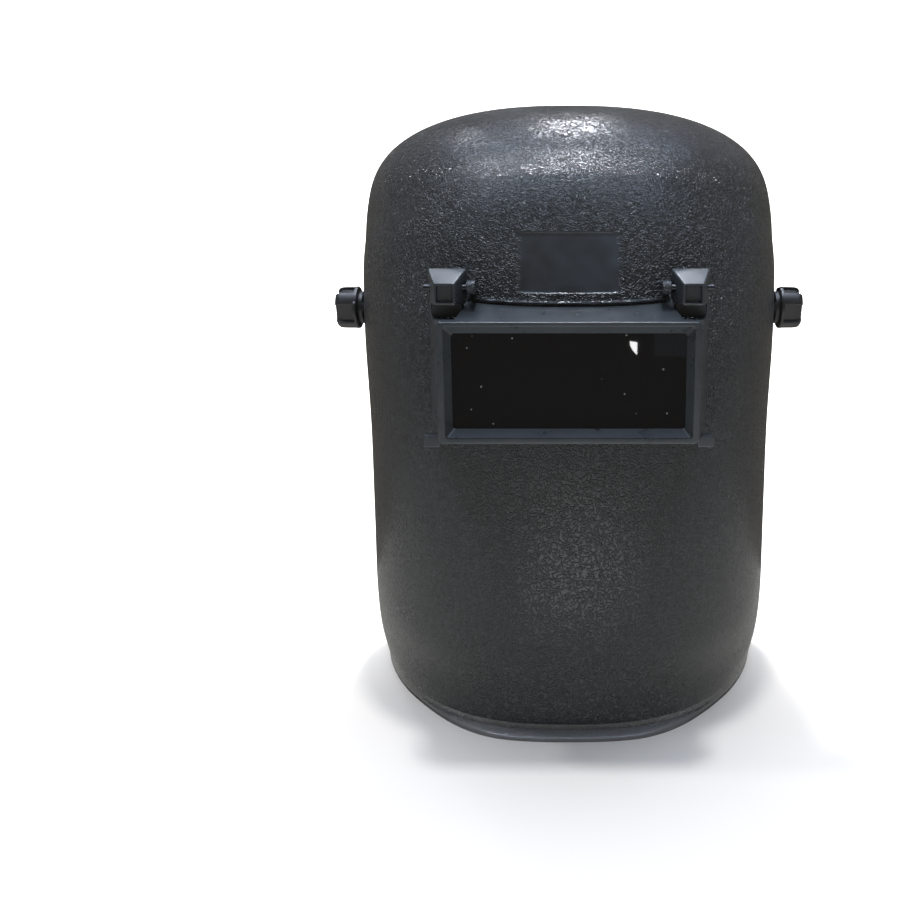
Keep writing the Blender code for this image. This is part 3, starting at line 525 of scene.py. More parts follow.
def liftTab(side):
    form = liftFrameForm
    inner = (frameWidthAt(form["seat"]) - form["sideWall"]) / 2
    outer = frameWidthAt(0) / 2 + form["tabReach"]
    low = datumY - form["standoff"] + form["seat"]
    r = form["tabRound"]
    rings = []
    for depth, inset in ((0, r), (r * 0.3, r * 0.3), (r, 0), (form["tabDepth"] - r, 0),
                         (form["tabDepth"] - r * 0.3, r * 0.3), (form["tabDepth"], r)):
        height = form["tabHeight"] * np.interp(depth, [0, form["tabDepth"]], [0.86, 1])
        rings.append(outlineRing(outlineWeights(1, 1, 5), outer - inner - 2 * inset,
                                 height - 2 * inset, 2 * r, x=side * (inner + outer) / 2,
                                 y=low + depth, z=frameBottomAt(0)))
    return ringSolid("liftTab", np.stack(rings))


# Hinge blocks, ears and pins

hingeForm = {
    "x": 0.0525, "z": 0.2112, "axis": 0.003, "pinRadius": 0.0014, "gap": 0.0003,
    "front": 0.0092, "backWidth": 0.0168, "backHeight": 0.0150, "reach": 0.0085,
    "tail": 0.0050, "faceDrop": 0.0023, "backRise": 0.0015, "midDrop": 0.0001,
    "recessShare": 0.74, "recessDepth": 0.0022, "edgeRound": 0.00045,
    "earWidth": 0.0038, "earRadius": 0.0029, "earRound": 0.0005, "earRoot": 0.0010,
    "earGrain": 0.35, "scoopStart": 0.003, "scoopEnd": 0.027,
    "scoopFloor": 0.0006, "legStart": 0.0160, "legEnd": 0.0195, "pinProud": 0.0016,
}


def scoopWidthAt(depth):
    form = hingeForm
    share = (depth - form["scoopStart"]) / (form["scoopEnd"] - form["scoopStart"])
    return form["front"] + share * (form["backWidth"] - form["front"])


def blockScoop(side):
    form = hingeForm
    floorZ = frameTopAt(0) + form["scoopFloor"]
    rings = [outlineRing(outlineWeights(1, 1, 4), scoopWidthAt(depth), height,
                         form["scoopFloor"] * 2, x=side * form["x"],
                         y=datumY - liftFrameForm["standoff"] + depth, z=floorZ + height / 2)
             for depth, height in ((form["scoopStart"], form["earRadius"]),
                                   (form["scoopEnd"], 4 * form["earRadius"]))]
    return ringSolid("blockScoop", np.stack(rings))


def hingeBlockPiece(side):
    # rounded squares from the back face to the front, in over the rim and down the recess
    form = hingeForm
    weights = outlineWeights(3, 3, 5)
    axisY = datumY + form["axis"]
    r = form["edgeRound"]
    front, backWidth, backHeight = form["front"], form["backWidth"], form["backHeight"]
    faceZ = form["z"] - form["faceDrop"]
    rows = [   # y, width, height, radius, z
        (form["tail"], backWidth - 2 * r, backHeight * 0.85 - 2 * r, 0.0008, form["backRise"]),
        (form["tail"] - r * 0.3, backWidth - r * 0.6, backHeight * 0.85 - r * 0.6, 0.0009,
         form["backRise"]),
        (form["tail"] - r, backWidth, backHeight * 0.85, 0.0010, form["backRise"]),
        (form["tail"] * 0.2, backWidth * 0.9, backHeight * 0.9, 0.0009, -form["midDrop"]),
        (r - form["reach"], front, front, 0.0008, -form["faceDrop"]),
        (r * 0.3 - form["reach"], front - r * 0.6, front - r * 0.6, 0.0008, -form["faceDrop"]),
        (-form["reach"], front - 2 * r, front - 2 * r, 0.0008, -form["faceDrop"]),
    ]
    rings = [outlineRing(weights, width, height, radius, x=side * form["x"], y=axisY + y,
                         z=form["z"] + z) for y, width, height, radius, z in rows]
    deep = form["recessDepth"]
    for depth, grown in ((0, 0.0004), (0.0003, 0.0001), (deep - 0.0003, -0.0002),
                         (deep, -0.0006)):
        rings.append(outlineRing(weights, front * form["recessShare"] + grown,
                                 front * form["recessShare"] + grown, 0.0005,
                                 x=side * form["x"], y=axisY - form["reach"] + depth, z=faceZ))
    piece = ringSolid("hingeBlock" + ("Right" if side > 0 else "Left"), np.stack(rings))
    combine(piece, blockLeg(side), "UNION")
    bore = turnedSolid("boreCutter", [(form["pinRadius"] + form["gap"], form["x"] - backWidth),
                                      (form["pinRadius"] + form["gap"], form["x"] + backWidth)],
                       side, (axisY, form["z"]), 24)
    combine(piece, bore, "DIFFERENCE")
    return smoothShade(piece, 36)


def blockLeg(side):
    form = hingeForm
    low = frameTopAt(0) + form["scoopFloor"] + form["gap"]
    high = form["z"] - form["pinRadius"] - form["gap"]
    rings = [outlineRing(outlineWeights(1, 1, 4), scoopWidthAt(depth) - 2 * form["gap"],
                         high - low, form["scoopFloor"] * 2, x=side * form["x"],
                         y=datumY - liftFrameForm["standoff"] + depth, z=(low + high) / 2)
             for depth in (form["legStart"], form["legEnd"])]
    return ringSolid("blockLeg", np.stack(rings))


def hingeEarPiece(side):
    # a stadium in the YZ plane, swept along X with rounded rims; its root is in the wall
    form = hingeForm
    inner = form["x"] - form["backWidth"] / 2 - form["gap"]
    outer = inner - form["earWidth"]
    radius = form["earRadius"]
    noseY = datumY + form["axis"]
    rootY = float(frontDepth(np.array([inner]), np.array([form["z"]]))[0])
    rootY += form["earRoot"]
    turn = np.linspace(math.pi / 2, 3 * math.pi / 2, 17)
    profileY = np.concatenate([[rootY], noseY + radius * np.cos(turn), [rootY]])
    profileZ = np.concatenate([[radius], radius * np.sin(turn), [-radius]])
    rings = []
    r = form["earRound"]
    for x, inset in ((0, r), (r * 0.3, r * 0.3), (r, 0), (form["earWidth"] - r, 0),
                     (form["earWidth"] - r * 0.3, r * 0.3), (form["earWidth"], r)):
        shrink = 1 - inset / radius
        y = np.where(profileY >= rootY, rootY, noseY + (profileY - noseY) * shrink)
        rings.append(np.stack([np.full(len(y), side * (outer + x)), y,
                               form["z"] + profileZ * shrink], -1))
    piece = ringSolid("hingeEar" + ("Right" if side > 0 else "Left"), np.stack(rings))
    bore = turnedSolid("boreCutter", [(form["pinRadius"] + form["gap"], outer - 0.01),
                                      (form["pinRadius"] + form["gap"], inner + 0.01)],
                       side, (noseY, form["z"]), 24)
    combine(piece, bore, "DIFFERENCE")
    # a trace of the shell's grain, so that the ear isn't as pale as the let-in plate
    layer = piece.data.attributes.new("grain", "FLOAT", "POINT")
    grain = np.full(len(piece.data.vertices), form["earGrain"], np.float32)
    layer.data.foreach_set("value", grain)
    return smoothShade(piece, 36)


def hingePinPiece(side):
    form = hingeForm
    inner = form["x"] - form["backWidth"] / 2 - form["gap"] - form["earWidth"]
    outer = form["x"] + form["backWidth"] / 2 + form["pinProud"]
    radius = form["pinRadius"]
    profile = [(radius * 0.3, inner), (radius * 0.85, inner + radius * 0.12),
               (radius, inner + radius * 0.4), (radius, outer - radius * 0.5),
               (radius * 0.85, outer - radius * 0.15), (radius * 0.3, outer)]
    piece = turnedSolid("hingePin" + ("Right" if side > 0 else "Left"), profile, side,
                        (datumY + form["axis"], form["z"]), 28)
    return smoothShade(piece, 40)


# Lens and retainer

lensForm = {
    "width": 0.108, "height": 0.050, "thick": 0.003, "front": 0.0057, "chamfer": 0.0003,
    "retainerThick": 0.0018, "retainerRim": 0.004, "gap": 0.0003,
}


def filterPiece():
    form = lensForm
    start = datumY - liftFrameForm["standoff"] + form["front"]
    c = form["chamfer"]
    rings = [outlineRing(outlineWeights(8, 4, 4), form["width"] - 2 * inset,
                         form["height"] - 2 * inset, 0.001, y=start + y, z=shellForm["windowZ"])
             for y, inset in ((0, c), (c, 0), (form["thick"] - c, 0), (form["thick"], c))]
    return smoothShade(ringSolid("filterPlate", np.stack(rings)), 30)


def retainerPiece():
    form = lensForm
    start = (datumY - liftFrameForm["standoff"] + form["front"] + form["thick"] + form["gap"])
    thick, rim, c = form["retainerThick"], form["retainerRim"], 0.0004
    rows = [(0, c), (c, 0), (thick - c, 0), (thick, c),
            (thick, rim - c), (thick - c, rim), (c, rim), (0, rim - c)]
    rings = [outlineRing(outlineWeights(8, 4, 5), form["width"] - 2 * inset,
                         form["height"] - 2 * inset, 0.0011, y=start + y,
                         z=shellForm["windowZ"]) for y, inset in rows]
    return smoothShade(ringSolid("lensRetainer", np.stack(rings), closed=True), 36)


# Knobs: an outline with notches carried out along the pivot axis

knobForm = {
    "neckRadius": 0.0085, "neckLength": 0.0024, "radius": 0.0112, "length": 0.0118,
    "notches": 4, "notchWidth": 0.0092, "notchDepth": 0.0032, "notchLead": math.radians(75),
    "fillet": 0.0007, "pointerRadius": 0.0140, "pointerWidth": 0.0080, "pointerThick": 0.0018,
    "studRadius": 0.003, "studGrip": 0.0096, "studHead": 0.007, "studHeadThick": 0.002,
    "gap": 0.0003, "leftTurn": math.pi / 2, "rightTurn": 0.0,
    "rimStep": 0.0003, "shoulder": 0.0008, "endDish": 0.0006, "pointerRound": 0.0004,
}


def wallAtPivot():
    y, z = shellForm["pivotSetback"] + datumY, shellForm["pivotZ"]
    radius = knobForm["neckRadius"]
    return max(sideReach(y + radius * math.cos(a), z + radius * math.sin(a))
               for a in np.linspace(0, 2 * math.pi, 12, endpoint=False))


def notchedOutline():
    # one notch and one rounded land for each quarter: the land is an arc, the notch a flat
    # floor between two walls, with small fillets; angles of the plain circle go with them
    form = knobForm
    half = form["notchWidth"] / 2
    floor = form["radius"] - form["notchDepth"]
    f = form["fillet"]
    lip = math.sqrt((form["radius"] - f) ** 2 - (half + f) ** 2)
    lipAngle = math.atan2(half + f, lip)
    quarter = math.pi / form["notches"]
    bend = np.linspace(0, 1, 6)
    # across and out of each point, from the notch's middle to the middle of the land
    floorRun = [(share * (half - f), floor) for share in np.linspace(0, 1, 6)]
    inner = [(half - f + f * math.sin(b), floor + f - f * math.cos(b))
             for b in bend[1:] * math.pi / 2]
    outer = [(half + f - f * math.cos(b), lip + f * math.sin(b))
             for b in bend * (math.pi / 2 + lipAngle)]
    land = [(form["radius"] * math.sin(a), form["radius"] * math.cos(a))
            for a in np.linspace(lipAngle, quarter, 9)[1:]]
    halfRun = np.array(floorRun + inner + outer + land)
    whole = np.concatenate([halfRun[:0:-1] * [-1, 1], halfRun])[1:]
    angles = np.arctan2(whole[:, 0], whole[:, 1])
    inNotch = np.abs(whole[:, 0]) <= half + 1e-9
    lipAt = math.asin(half / form["radius"])
    order = np.cumsum(inNotch) - 1
    spread = -lipAt + 2 * lipAt * order / max(order.max(), 1)
    plain = np.where(inNotch & (np.hypot(*whole.T) < form["radius"] * 0.995), spread, angles)
    plain = np.sort(plain)
    lands, circles = [], []
    for index in range(form["notches"]):
        turn = form["notchLead"] + index * 2 * quarter
        cosT, sinT = math.cos(turn), math.sin(turn)
        across, out = whole.T
        lands.append(np.stack([across * cosT + out * sinT, out * cosT - across * sinT], -1))
        circles.append(np.stack([np.sin(plain + turn), np.cos(plain + turn)], -1)
                       * form["radius"])
    return np.concatenate(lands), np.concatenate(circles)


def knobPiece(side):
    form = knobForm
    notched, plain = notchedOutline()
    turn = form["rightTurn"] if side > 0 else form["leftTurn"]
    start = wallAtPivot() + form["gap"]
    neck, length = form["neckLength"], form["length"]
    shelf = neck + form["pointerThick"]
    end = neck + length
    placeY, placeZ = pivotPlace()

    def ring(outline, out, scale):
        y, z = outline.T * scale
        cosT, sinT = math.cos(turn), math.sin(turn)
        # the outline's second value points up at turn 0 and towards -Y after a quarter
        turnedY = y * cosT - z * sinT
        turnedZ = y * sinT + z * cosT
        return np.stack([np.full(len(y), side * (start + out)), placeY + turnedY,
                         placeZ + turnedZ], -1)

    neckScale = form["neckRadius"] / form["radius"]
    step, dish = form["rimStep"], form["endDish"]
    rings = [ring(plain, 0, neckScale * 0.97), ring(plain, step, neckScale),
             ring(plain, neck - step, neckScale), ring(plain, neck, neckScale * 1.03),
             ring(plain, neck, 0.955), ring(plain, neck + step, 0.985),
             ring(plain, neck + form["shoulder"], 1.0), ring(plain, shelf, 1.0),
             ring(notched, shelf + step / 3, 1.0)]
    for share, scale in ((0.0, 1.0), (0.25, 1.0), (0.5, 0.998), (0.70, 0.99), (0.80, 0.975),
                         (0.88, 0.95), (0.94, 0.915), (0.98, 0.87), (1.0, 0.82)):
        rings.append(ring(notched, shelf + step + (end - shelf - step) * share, scale))
    # the end face is dished a little
    rings += [ring(notched, end - dish / 3, 0.74), ring(notched, end - dish, 0.70),
              ring(notched, end - dish, 0.3)]
    piece = ringSolid("knob" + ("Right" if side > 0 else "Left"), np.stack(rings))
    combine(piece, knobPointer(side, start + neck, turn), "UNION")
    boreRadius = form["studRadius"] + form["gap"]
    bore = turnedSolid("boreCutter", [(boreRadius, start - form["studRadius"]),
                                      (boreRadius, start + form["studGrip"])],
                       side, pivotPlace(), 32)
    combine(piece, bore, "DIFFERENCE")
    return smoothShade(piece, 38)


def knobPointer(side, back, turn):
    # a tongue whose tip is round, swept through its thickness
    form = knobForm
    half = form["pointerWidth"] / 2
    tip = np.linspace(-1, 1, 13) * math.pi / 2
    outTip = form["pointerRadius"] - half * 0.55 * (1 - np.cos(tip))
    across = np.concatenate([[-half], half * np.sin(tip), [half]])
    out = np.concatenate([[form["radius"] * 0.7], outTip, [form["radius"] * 0.7]])
    placeY, placeZ = pivotPlace()
    rings = []
    r = form["pointerRound"]
    for x, inset in ((0, r), (r, 0), (form["pointerThick"] - r, 0), (form["pointerThick"], r)):
        shrinkA = across * (1 - inset / half)
        shrinkO = np.where(out > form["radius"] * 0.71, out - inset, out)
        y = shrinkA * math.cos(turn) - shrinkO * math.sin(turn)
        z = shrinkA * math.sin(turn) + shrinkO * math.cos(turn)
        rings.append(np.stack([np.full(len(y), side * (back + x)), placeY + y, placeZ + z], -1))
    return ringSolid("knobPointer", np.stack(rings))


def pivotStudPiece(side):
    form = knobForm
    start = armFace() - harnessForm["armThick"] - form["gap"] - form["studHeadThick"]
    end = wallAtPivot() + form["studGrip"]
    head, thick, shank = form["studHead"], form["studHeadThick"], form["studRadius"]
    profile = [(head * 0.55, start), (head * 0.82, start + thick * 0.12),
               (head * 0.96, start + thick * 0.4), (head, start + thick * 0.7),
               (head, start + thick), (shank, start + thick), (shank, end - 0.0004),
               (shank * 0.8, end)]
    return smoothShade(turnedSolid("pivotStud" + ("Right" if side > 0 else "Left"), profile,
                                   side, pivotPlace(), 40), 40)


# Head harness: straps with rounded edges carried along their paths

harnessForm = {
    "halfWidth": 0.079, "halfLength": 0.097, "setback": 0.138, "height": 0.024, "thick": 0.0018,
    "bend": 2.2, "armHeight": 0.020, "armThick": 0.0022, "armReach": 0.036, "armNose": 0.011,
    "armGap": 0.0012, "crownRise": 0.091, "crownWidth": 0.022, "crownThick": 0.0018,
    "crownBend": 2.3, "edgeRound": 0.0007, "gap": 0.0003, "armCut": (0.085, 0.11),
}


def armFace():
    y = shellForm["pivotSetback"] - harnessForm["armNose"] * 1.4 + datumY
    return sideReach(y, shellForm["pivotZ"]) - shellForm["wall"] - harnessForm["armGap"]


def evenPath(points, count, closed):
    # the same path with its points evenly spaced
    run = np.linalg.norm(np.diff(points, axis=0), axis=1)
    length = np.concatenate([[0], np.cumsum(run)])
    wanted = np.linspace(0, length[-1], count + 1 if closed else count)
    even = np.stack([np.interp(wanted, length, points[:, k]) for k in range(points.shape[1])], -1)
    return even[:-1] if closed else even


def strapRings(path, outward, upward, thick, width, edgeRound):
    # a rounded bar's section at each path point: from the path inwards by its thickness,
    # and half its width to each side; width may change along the path
    weights = outlineWeights(1, 5, 3)
    width = np.broadcast_to(width, (len(path),))
    sideIn, sideUp, cornerIn, cornerUp = weights
    inwards = sideIn[None, :] * (thick / 2 - edgeRound) + cornerIn[None, :] * edgeRound - thick / 2
    along = sideUp[None, :] * (width[:, None] / 2 - edgeRound) + cornerUp[None, :] * edgeRound
    return (path[:, None, :] + outward[:, None, :] * inwards[..., None]
            + upward[:, None, :] * along[..., None])


def headbandPiece():
    form = harnessForm
    turn = np.linspace(0, 2 * math.pi, 2001)
    power = 2 / form["bend"]
    cosT, sinT = np.cos(turn), np.sin(turn)
    loop = np.stack([form["halfWidth"] * np.sign(cosT) * np.abs(cosT) ** power,
                     datumY + form["setback"]
                     + form["halfLength"] * np.sign(sinT) * np.abs(sinT) ** power], -1)
    path = evenPath(loop, 200, True)
    tangent = np.roll(path, -1, 0) - np.roll(path, 1, 0)
    outward = np.stack([tangent[:, 1], -tangent[:, 0], np.zeros(len(path))], -1)
    outward /= np.linalg.norm(outward, axis=1, keepdims=True)
    upward = np.tile([0.0, 0.0, 1.0], (len(path), 1))
    centre = np.column_stack([path, np.full(len(path), shellForm["pivotZ"])])
    rings = strapRings(centre, outward, upward, form["thick"], form["height"],
                       form["edgeRound"])
    band = ringSolid("headband", rings, closed=True)
    profile = [(knobForm["studRadius"] + form["gap"], out) for out in form["armCut"]]
    for side in (-1, 1):
        combine(band, harnessArm(side), "UNION")
        combine(band, turnedSolid("boreCutter", profile, side, pivotPlace(), 32), "DIFFERENCE")
    return smoothShade(band, 40)


def harnessArm(side):
    # leaves the band tangentially, sweeps out to the pivot and ends in a half round
    form = harnessForm
    share = np.linspace(0, 1, 60)
    ease = share ** 2 * (3 - 2 * share)
    band = form["halfWidth"] - form["thick"]
    out = band + ease * (armFace() - band)
    back = shellForm["pivotSetback"] + form["armNose"] + form["armReach"] * (1 - share)
    nose = np.linspace(shellForm["pivotSetback"] + form["armNose"],
                       shellForm["pivotSetback"] - form["armNose"], 40)[1:]
    out = np.append(out, np.full(len(nose), armFace()))
    back = np.append(back, nose)
    path = np.stack([side * out, datumY + back, np.full(len(out), shellForm["pivotZ"])], -1)
    tangent = np.gradient(path, axis=0)
    outward = np.stack([-tangent[:, 1], tangent[:, 0], np.zeros(len(path))], -1) * side
    outward /= np.linalg.norm(outward, axis=1, keepdims=True)
    upward = np.tile([0.0, 0.0, 1.0], (len(path), 1))
    beyond = np.clip((shellForm["pivotSetback"] - back) / form["armNose"], 0, 0.985)
    width = form["armHeight"] * np.sqrt(1 - beyond ** 2)
    return ringSolid("harnessArm", strapRings(path, outward, upward, form["armThick"], width,
                                              form["edgeRound"]))


def crownStrapPiece():
    form = harnessForm
    turn = np.linspace(0, math.pi, 2001)
    power = 2 / form["crownBend"]
    foot = shellForm["pivotZ"] + form["height"] / 2 + form["gap"]
    arch = np.stack([form["halfWidth"] * np.sign(np.cos(turn)) * np.abs(np.cos(turn)) ** power,
                     foot + (form["crownRise"] - form["height"] / 2) * np.sin(turn) ** power],
                    -1)
    path = evenPath(arch, 120, False)
    tangent = np.gradient(path, axis=0)
    outward = np.stack([tangent[:, 1], np.zeros(len(path)), -tangent[:, 0]], -1)
    outward /= np.linalg.norm(outward, axis=1, keepdims=True)
    along = np.tile([0.0, 1.0, 0.0], (len(path), 1))
    centre = np.stack([path[:, 0], np.full(len(path), datumY + form["setback"]), path[:, 1]], -1)
    rings = strapRings(centre, outward, along, form["crownThick"], form["crownWidth"],
                       form["edgeRound"])
    return smoothShade(ringSolid("crownStrap", rings), 40)


# Materials

def linear(hexColour):
    # sRGB hex to linear values
    value = np.array([int(hexColour[i:i + 2], 16) for i in (1, 3, 5)]) / 255
    made = np.where(value <= 0.04045, value / 12.92, ((value + 0.055) / 1.055) ** 2.4)
    return (*made.tolist(), 1.0)


def addNode(tree, kind, settings=None, links=None):
    # a node with its settings (sockets by name, or properties) and its incoming links
    node = tree.nodes.new(kind)
    for key, value in (settings or {}).items():
        if isinstance(key, int) or key in node.inputs:
            node.inputs[key].default_value = value
        else:
            setattr(node, key, value)
    for key, source in (links or {}).items():
        tree.links.new(source, node.inputs[key])
    return node


def newMaterial(name, settings):
    made = bpy.data.materials.new(name)
    made.use_nodes = True
    shader = made.node_tree.nodes["Principled BSDF"]
    for key, value in settings.items():
        shader.inputs[key].default_value = value
    return made, made.node_tree, shader


def wire(tree, shader, colour, roughness, bump=None):
    # the three sockets that every material here drives
    tree.links.new(colour, shader.inputs["Base Color"])
    tree.links.new(roughness, shader.inputs["Roughness"])
    if bump:
        tree.links.new(bump.outputs[0], shader.inputs["Normal"])


shellLook = {
    "dark": "#292b2c", "pale": "#313335", "smooth": "#3b4047", "inside": "#1c1d1e",
    # worn: the lip's pale colour, partly wear and partly painted light on the lip's top and front
    "worn": "#777776", "lipTop": 5.7 * millimetre, "wornAndLitTo": 85 * millimetre,
    "wornAndLitFrom": 45 * millimetre,
    "roughness": 0.23, "insideRoughness": 0.55,
    "ridge": 1.6 * millimetre, "fine": 0.5 * millimetre, "relief": 0.46 * millimetre,
}


def shellMaterial():
    # polypropylene, injection moulded in an etched tool: short wandering ridges about 1 mm
    # apart that catch small glints; the let-in plate is plain satin with faint cloudy wear
    look = shellLook
    made, tree, shader = newMaterial("pebbleGrainedPolypropylene", {"IOR": 1.49})
    spot = addNode(tree, "ShaderNodeTexCoord").outputs["Object"]
    grain = addNode(tree, "ShaderNodeAttribute", {"attribute_name": "grain"}).outputs["Fac"]
    outside = addNode(tree, "ShaderNodeMath", {"operation": "MAXIMUM", 1: 0.0},
                      {0: grain}).outputs[0]
    warp = addNode(tree, "ShaderNodeTexNoise", {"Scale": 1 / (2.2 * look["ridge"]),
                                                "Detail": 2.0}, {"Vector": spot})
    shift = addNode(tree, "ShaderNodeVectorMath",
                    {"operation": "MULTIPLY_ADD", 1: (look["ridge"] * 1.6,) * 3,
                     2: (-look["ridge"] * 0.8,) * 3}, {0: warp.outputs["Color"]})
    bent = addNode(tree, "ShaderNodeVectorMath", {"operation": "ADD"},
                   {0: spot, 1: shift.outputs[0]})
    wander = addNode(tree, "ShaderNodeTexNoise", {"Scale": 1 / look["ridge"], "Detail": 1.0,
                                                  "Roughness": 0.5},
                     {"Vector": bent.outputs[0]})
    # ridges: 1 where the noise crosses its middle, down to 0 where it is 0.11 away from it
    centred = addNode(tree, "ShaderNodeMath", {"operation": "SUBTRACT", 1: 0.5},
                      {0: wander.outputs["Fac"]})
    folded = addNode(tree, "ShaderNodeMath", {"operation": "ABSOLUTE"}, {0: centred.outputs[0]})
    ridges = addNode(tree, "ShaderNodeMapRange", {"interpolation_type": "SMOOTHSTEP",
                                                  "From Min": 0.11, "From Max": 0.0},
                     {"Value": folded.outputs[0]})
    fine = addNode(tree, "ShaderNodeTexNoise", {"Scale": 1 / look["fine"], "Detail": 2.0,
                                                "Roughness": 0.5}, {"Vector": spot})
    height = addNode(tree, "ShaderNodeMath", {"operation": "MULTIPLY_ADD", 1: 0.16},
                     {0: fine.outputs["Fac"], 2: ridges.outputs[0]})
    grained = addNode(tree, "ShaderNodeMath", {"operation": "MULTIPLY"},
                      {0: height.outputs[0], 1: outside})
    bump = addNode(tree, "ShaderNodeBump", {"Strength": 1.0, "Distance": look["relief"]},
                   {"Height": grained.outputs[0]})
    cloud = addNode(tree, "ShaderNodeTexNoise", {"Scale": 1 / (35 * millimetre), "Detail": 4.0},
                    {"Vector": spot})
    tint = addNode(tree, "ShaderNodeMix", {"data_type": "RGBA", 6: linear(look["dark"]),
                                           7: linear(look["pale"])},
                   {0: cloud.outputs["Fac"]})
    # the let-in plate: paler, with soft patches about 12 mm across
    patch = addNode(tree, "ShaderNodeTexNoise", {"Scale": 1 / (12 * millimetre), "Detail": 1.0},
                    {"Vector": spot})
    cloudy = addNode(tree, "ShaderNodeMapRange", {"From Min": 0.25, "From Max": 0.75},
                     {"Value": patch.outputs["Fac"]})
    plain = addNode(tree, "ShaderNodeMath", {"operation": "SUBTRACT", 0: 1.0}, {1: outside})
    share = addNode(tree, "ShaderNodeMath", {"operation": "MULTIPLY"},
                    {0: plain.outputs[0], 1: cloudy.outputs[0]})
    skin = addNode(tree, "ShaderNodeMix", {"data_type": "RGBA", 7: linear(look["smooth"])},
                   {0: share.outputs[0], 6: tint.outputs[2]})
    # the lip is painted paler below lipTop, all of it within wornAndLitFrom of the middle and none
    # of it beyond wornAndLitTo: partly wear, partly painted light for the light that the lip's top
    # and front catch
    apart = addNode(tree, "ShaderNodeSeparateXYZ", {}, {0: spot})
    low = addNode(tree, "ShaderNodeMapRange", {"interpolation_type": "SMOOTHSTEP",
                                               "From Min": look["lipTop"] + 0.3 * millimetre,
                                               "From Max": look["lipTop"] - 0.4 * millimetre},
                  {"Value": apart.outputs["Z"]})
    aside = addNode(tree, "ShaderNodeMath", {"operation": "ABSOLUTE"}, {0: apart.outputs["X"]})
    middle = addNode(tree, "ShaderNodeMapRange", {"interpolation_type": "SMOOTHSTEP",
                                                  "From Min": look["wornAndLitTo"],
                                                  "From Max": look["wornAndLitFrom"]},
                     {"Value": aside.outputs[0]})
    wornAndLitLipShare = addNode(tree, "ShaderNodeMath", {"operation": "MULTIPLY"},
                       {0: low.outputs[0], 1: middle.outputs[0]})
    # painted light: the pale lip band stands in for light on the lip's top and front, along with
    # some wear
    wornAndLitLipSkin = addNode(tree, "ShaderNodeMix", {"data_type": "RGBA", 7: linear(look["worn"])},
                       {0: wornAndLitLipShare.outputs[0], 6: skin.outputs[2]})
    inside = addNode(tree, "ShaderNodeMath", {"operation": "LESS_THAN", 1: -0.5}, {0: grain})
    colour = addNode(tree, "ShaderNodeMix", {"data_type": "RGBA", 7: linear(look["inside"])},
                     {0: inside.outputs[0], 6: wornAndLitLipSkin.outputs[2]})
    rough = addNode(tree, "ShaderNodeMapRange",
                    {"From Min": 0.3, "From Max": 0.7, "To Min": look["roughness"] - 0.04,
                     "To Max": look["roughness"] + 0.06}, {"Value": cloud.outputs["Fac"]})
    dull = addNode(tree, "ShaderNodeMix", {"data_type": "FLOAT", 3: look["insideRoughness"]},
                   {0: inside.outputs[0], 2: rough.outputs[0]})
    wire(tree, shader, colour.outputs[2], dull.outputs[0], bump)
    return made


def mouldedMaterial(name, look):
    # nylon or ABS from a smooth tool: an even satin skin with faint flow clouds, a very fine
    # texture and thin handling scuffs that dull the gloss here and there
    made, tree, shader = newMaterial(name, {"IOR": look["ior"]})
    spot = addNode(tree, "ShaderNodeTexCoord").outputs["Object"]
    cloud = addNode(tree, "ShaderNodeTexNoise", {"Scale": 1 / (9 * millimetre), "Detail": 4.0},
                    {"Vector": spot})
    skin = addNode(tree, "ShaderNodeTexNoise", {"Scale": 1 / (0.35 * millimetre), "Detail": 2.0},
                   {"Vector": spot})
    stretched = addNode(tree, "ShaderNodeMapping", {"Scale": (1.0, 1.0, 7.0),
                                                    "Rotation": (0.5, 0.9, 0.2)},
                        {"Vector": spot})
    scuff = addNode(tree, "ShaderNodeTexNoise", {"Scale": 1 / (1.6 * millimetre), "Detail": 5.0},
                    {"Vector": stretched.outputs[0]})
    scuffed = addNode(tree, "ShaderNodeMapRange", {"From Min": 0.50, "From Max": 0.78},
                      {"Value": scuff.outputs["Fac"]})
    tint = addNode(tree, "ShaderNodeMix", {"data_type": "RGBA", 6: linear(look["dark"]),
                                           7: linear(look["pale"])}, {0: cloud.outputs["Fac"]})
    rough = addNode(tree, "ShaderNodeMapRange",
                    {"From Min": 0.3, "From Max": 0.7, "To Min": look["roughness"] - 0.04,
                     "To Max": look["roughness"] + 0.05}, {"Value": cloud.outputs["Fac"]})
    worn = addNode(tree, "ShaderNodeMath", {"operation": "MULTIPLY_ADD", 1: 0.035},
                   {0: scuffed.outputs[0], 2: rough.outputs[0]})
    bump = addNode(tree, "ShaderNodeBump", {"Strength": 0.6, "Distance": look["relief"]},
                   {"Height": skin.outputs["Fac"]})
    wire(tree, shader, tint.outputs[2], worn.outputs[0], bump)
    return made


frameLook = {"dark": "#2a2e31", "pale": "#363b3f", "roughness": 0.30, "ior": 1.53,
             "relief": 0.008 * millimetre}
knobLook = {"dark": "#222324", "pale": "#2b2c2d", "roughness": 0.36, "ior": 1.53,
            "relief": 0.008 * millimetre}
harnessLook = {"dark": "#1a1a1b", "pale": "#252527", "roughness": 0.45, "ior": 1.51,
               "relief": 0.03 * millimetre}
glassLook = {"body": "#0c0c0e", "dust": "#6d6f70", "roughness": 0.012,
             "dustSpread": 6.5 * millimetre, "dustSize": 0.075}


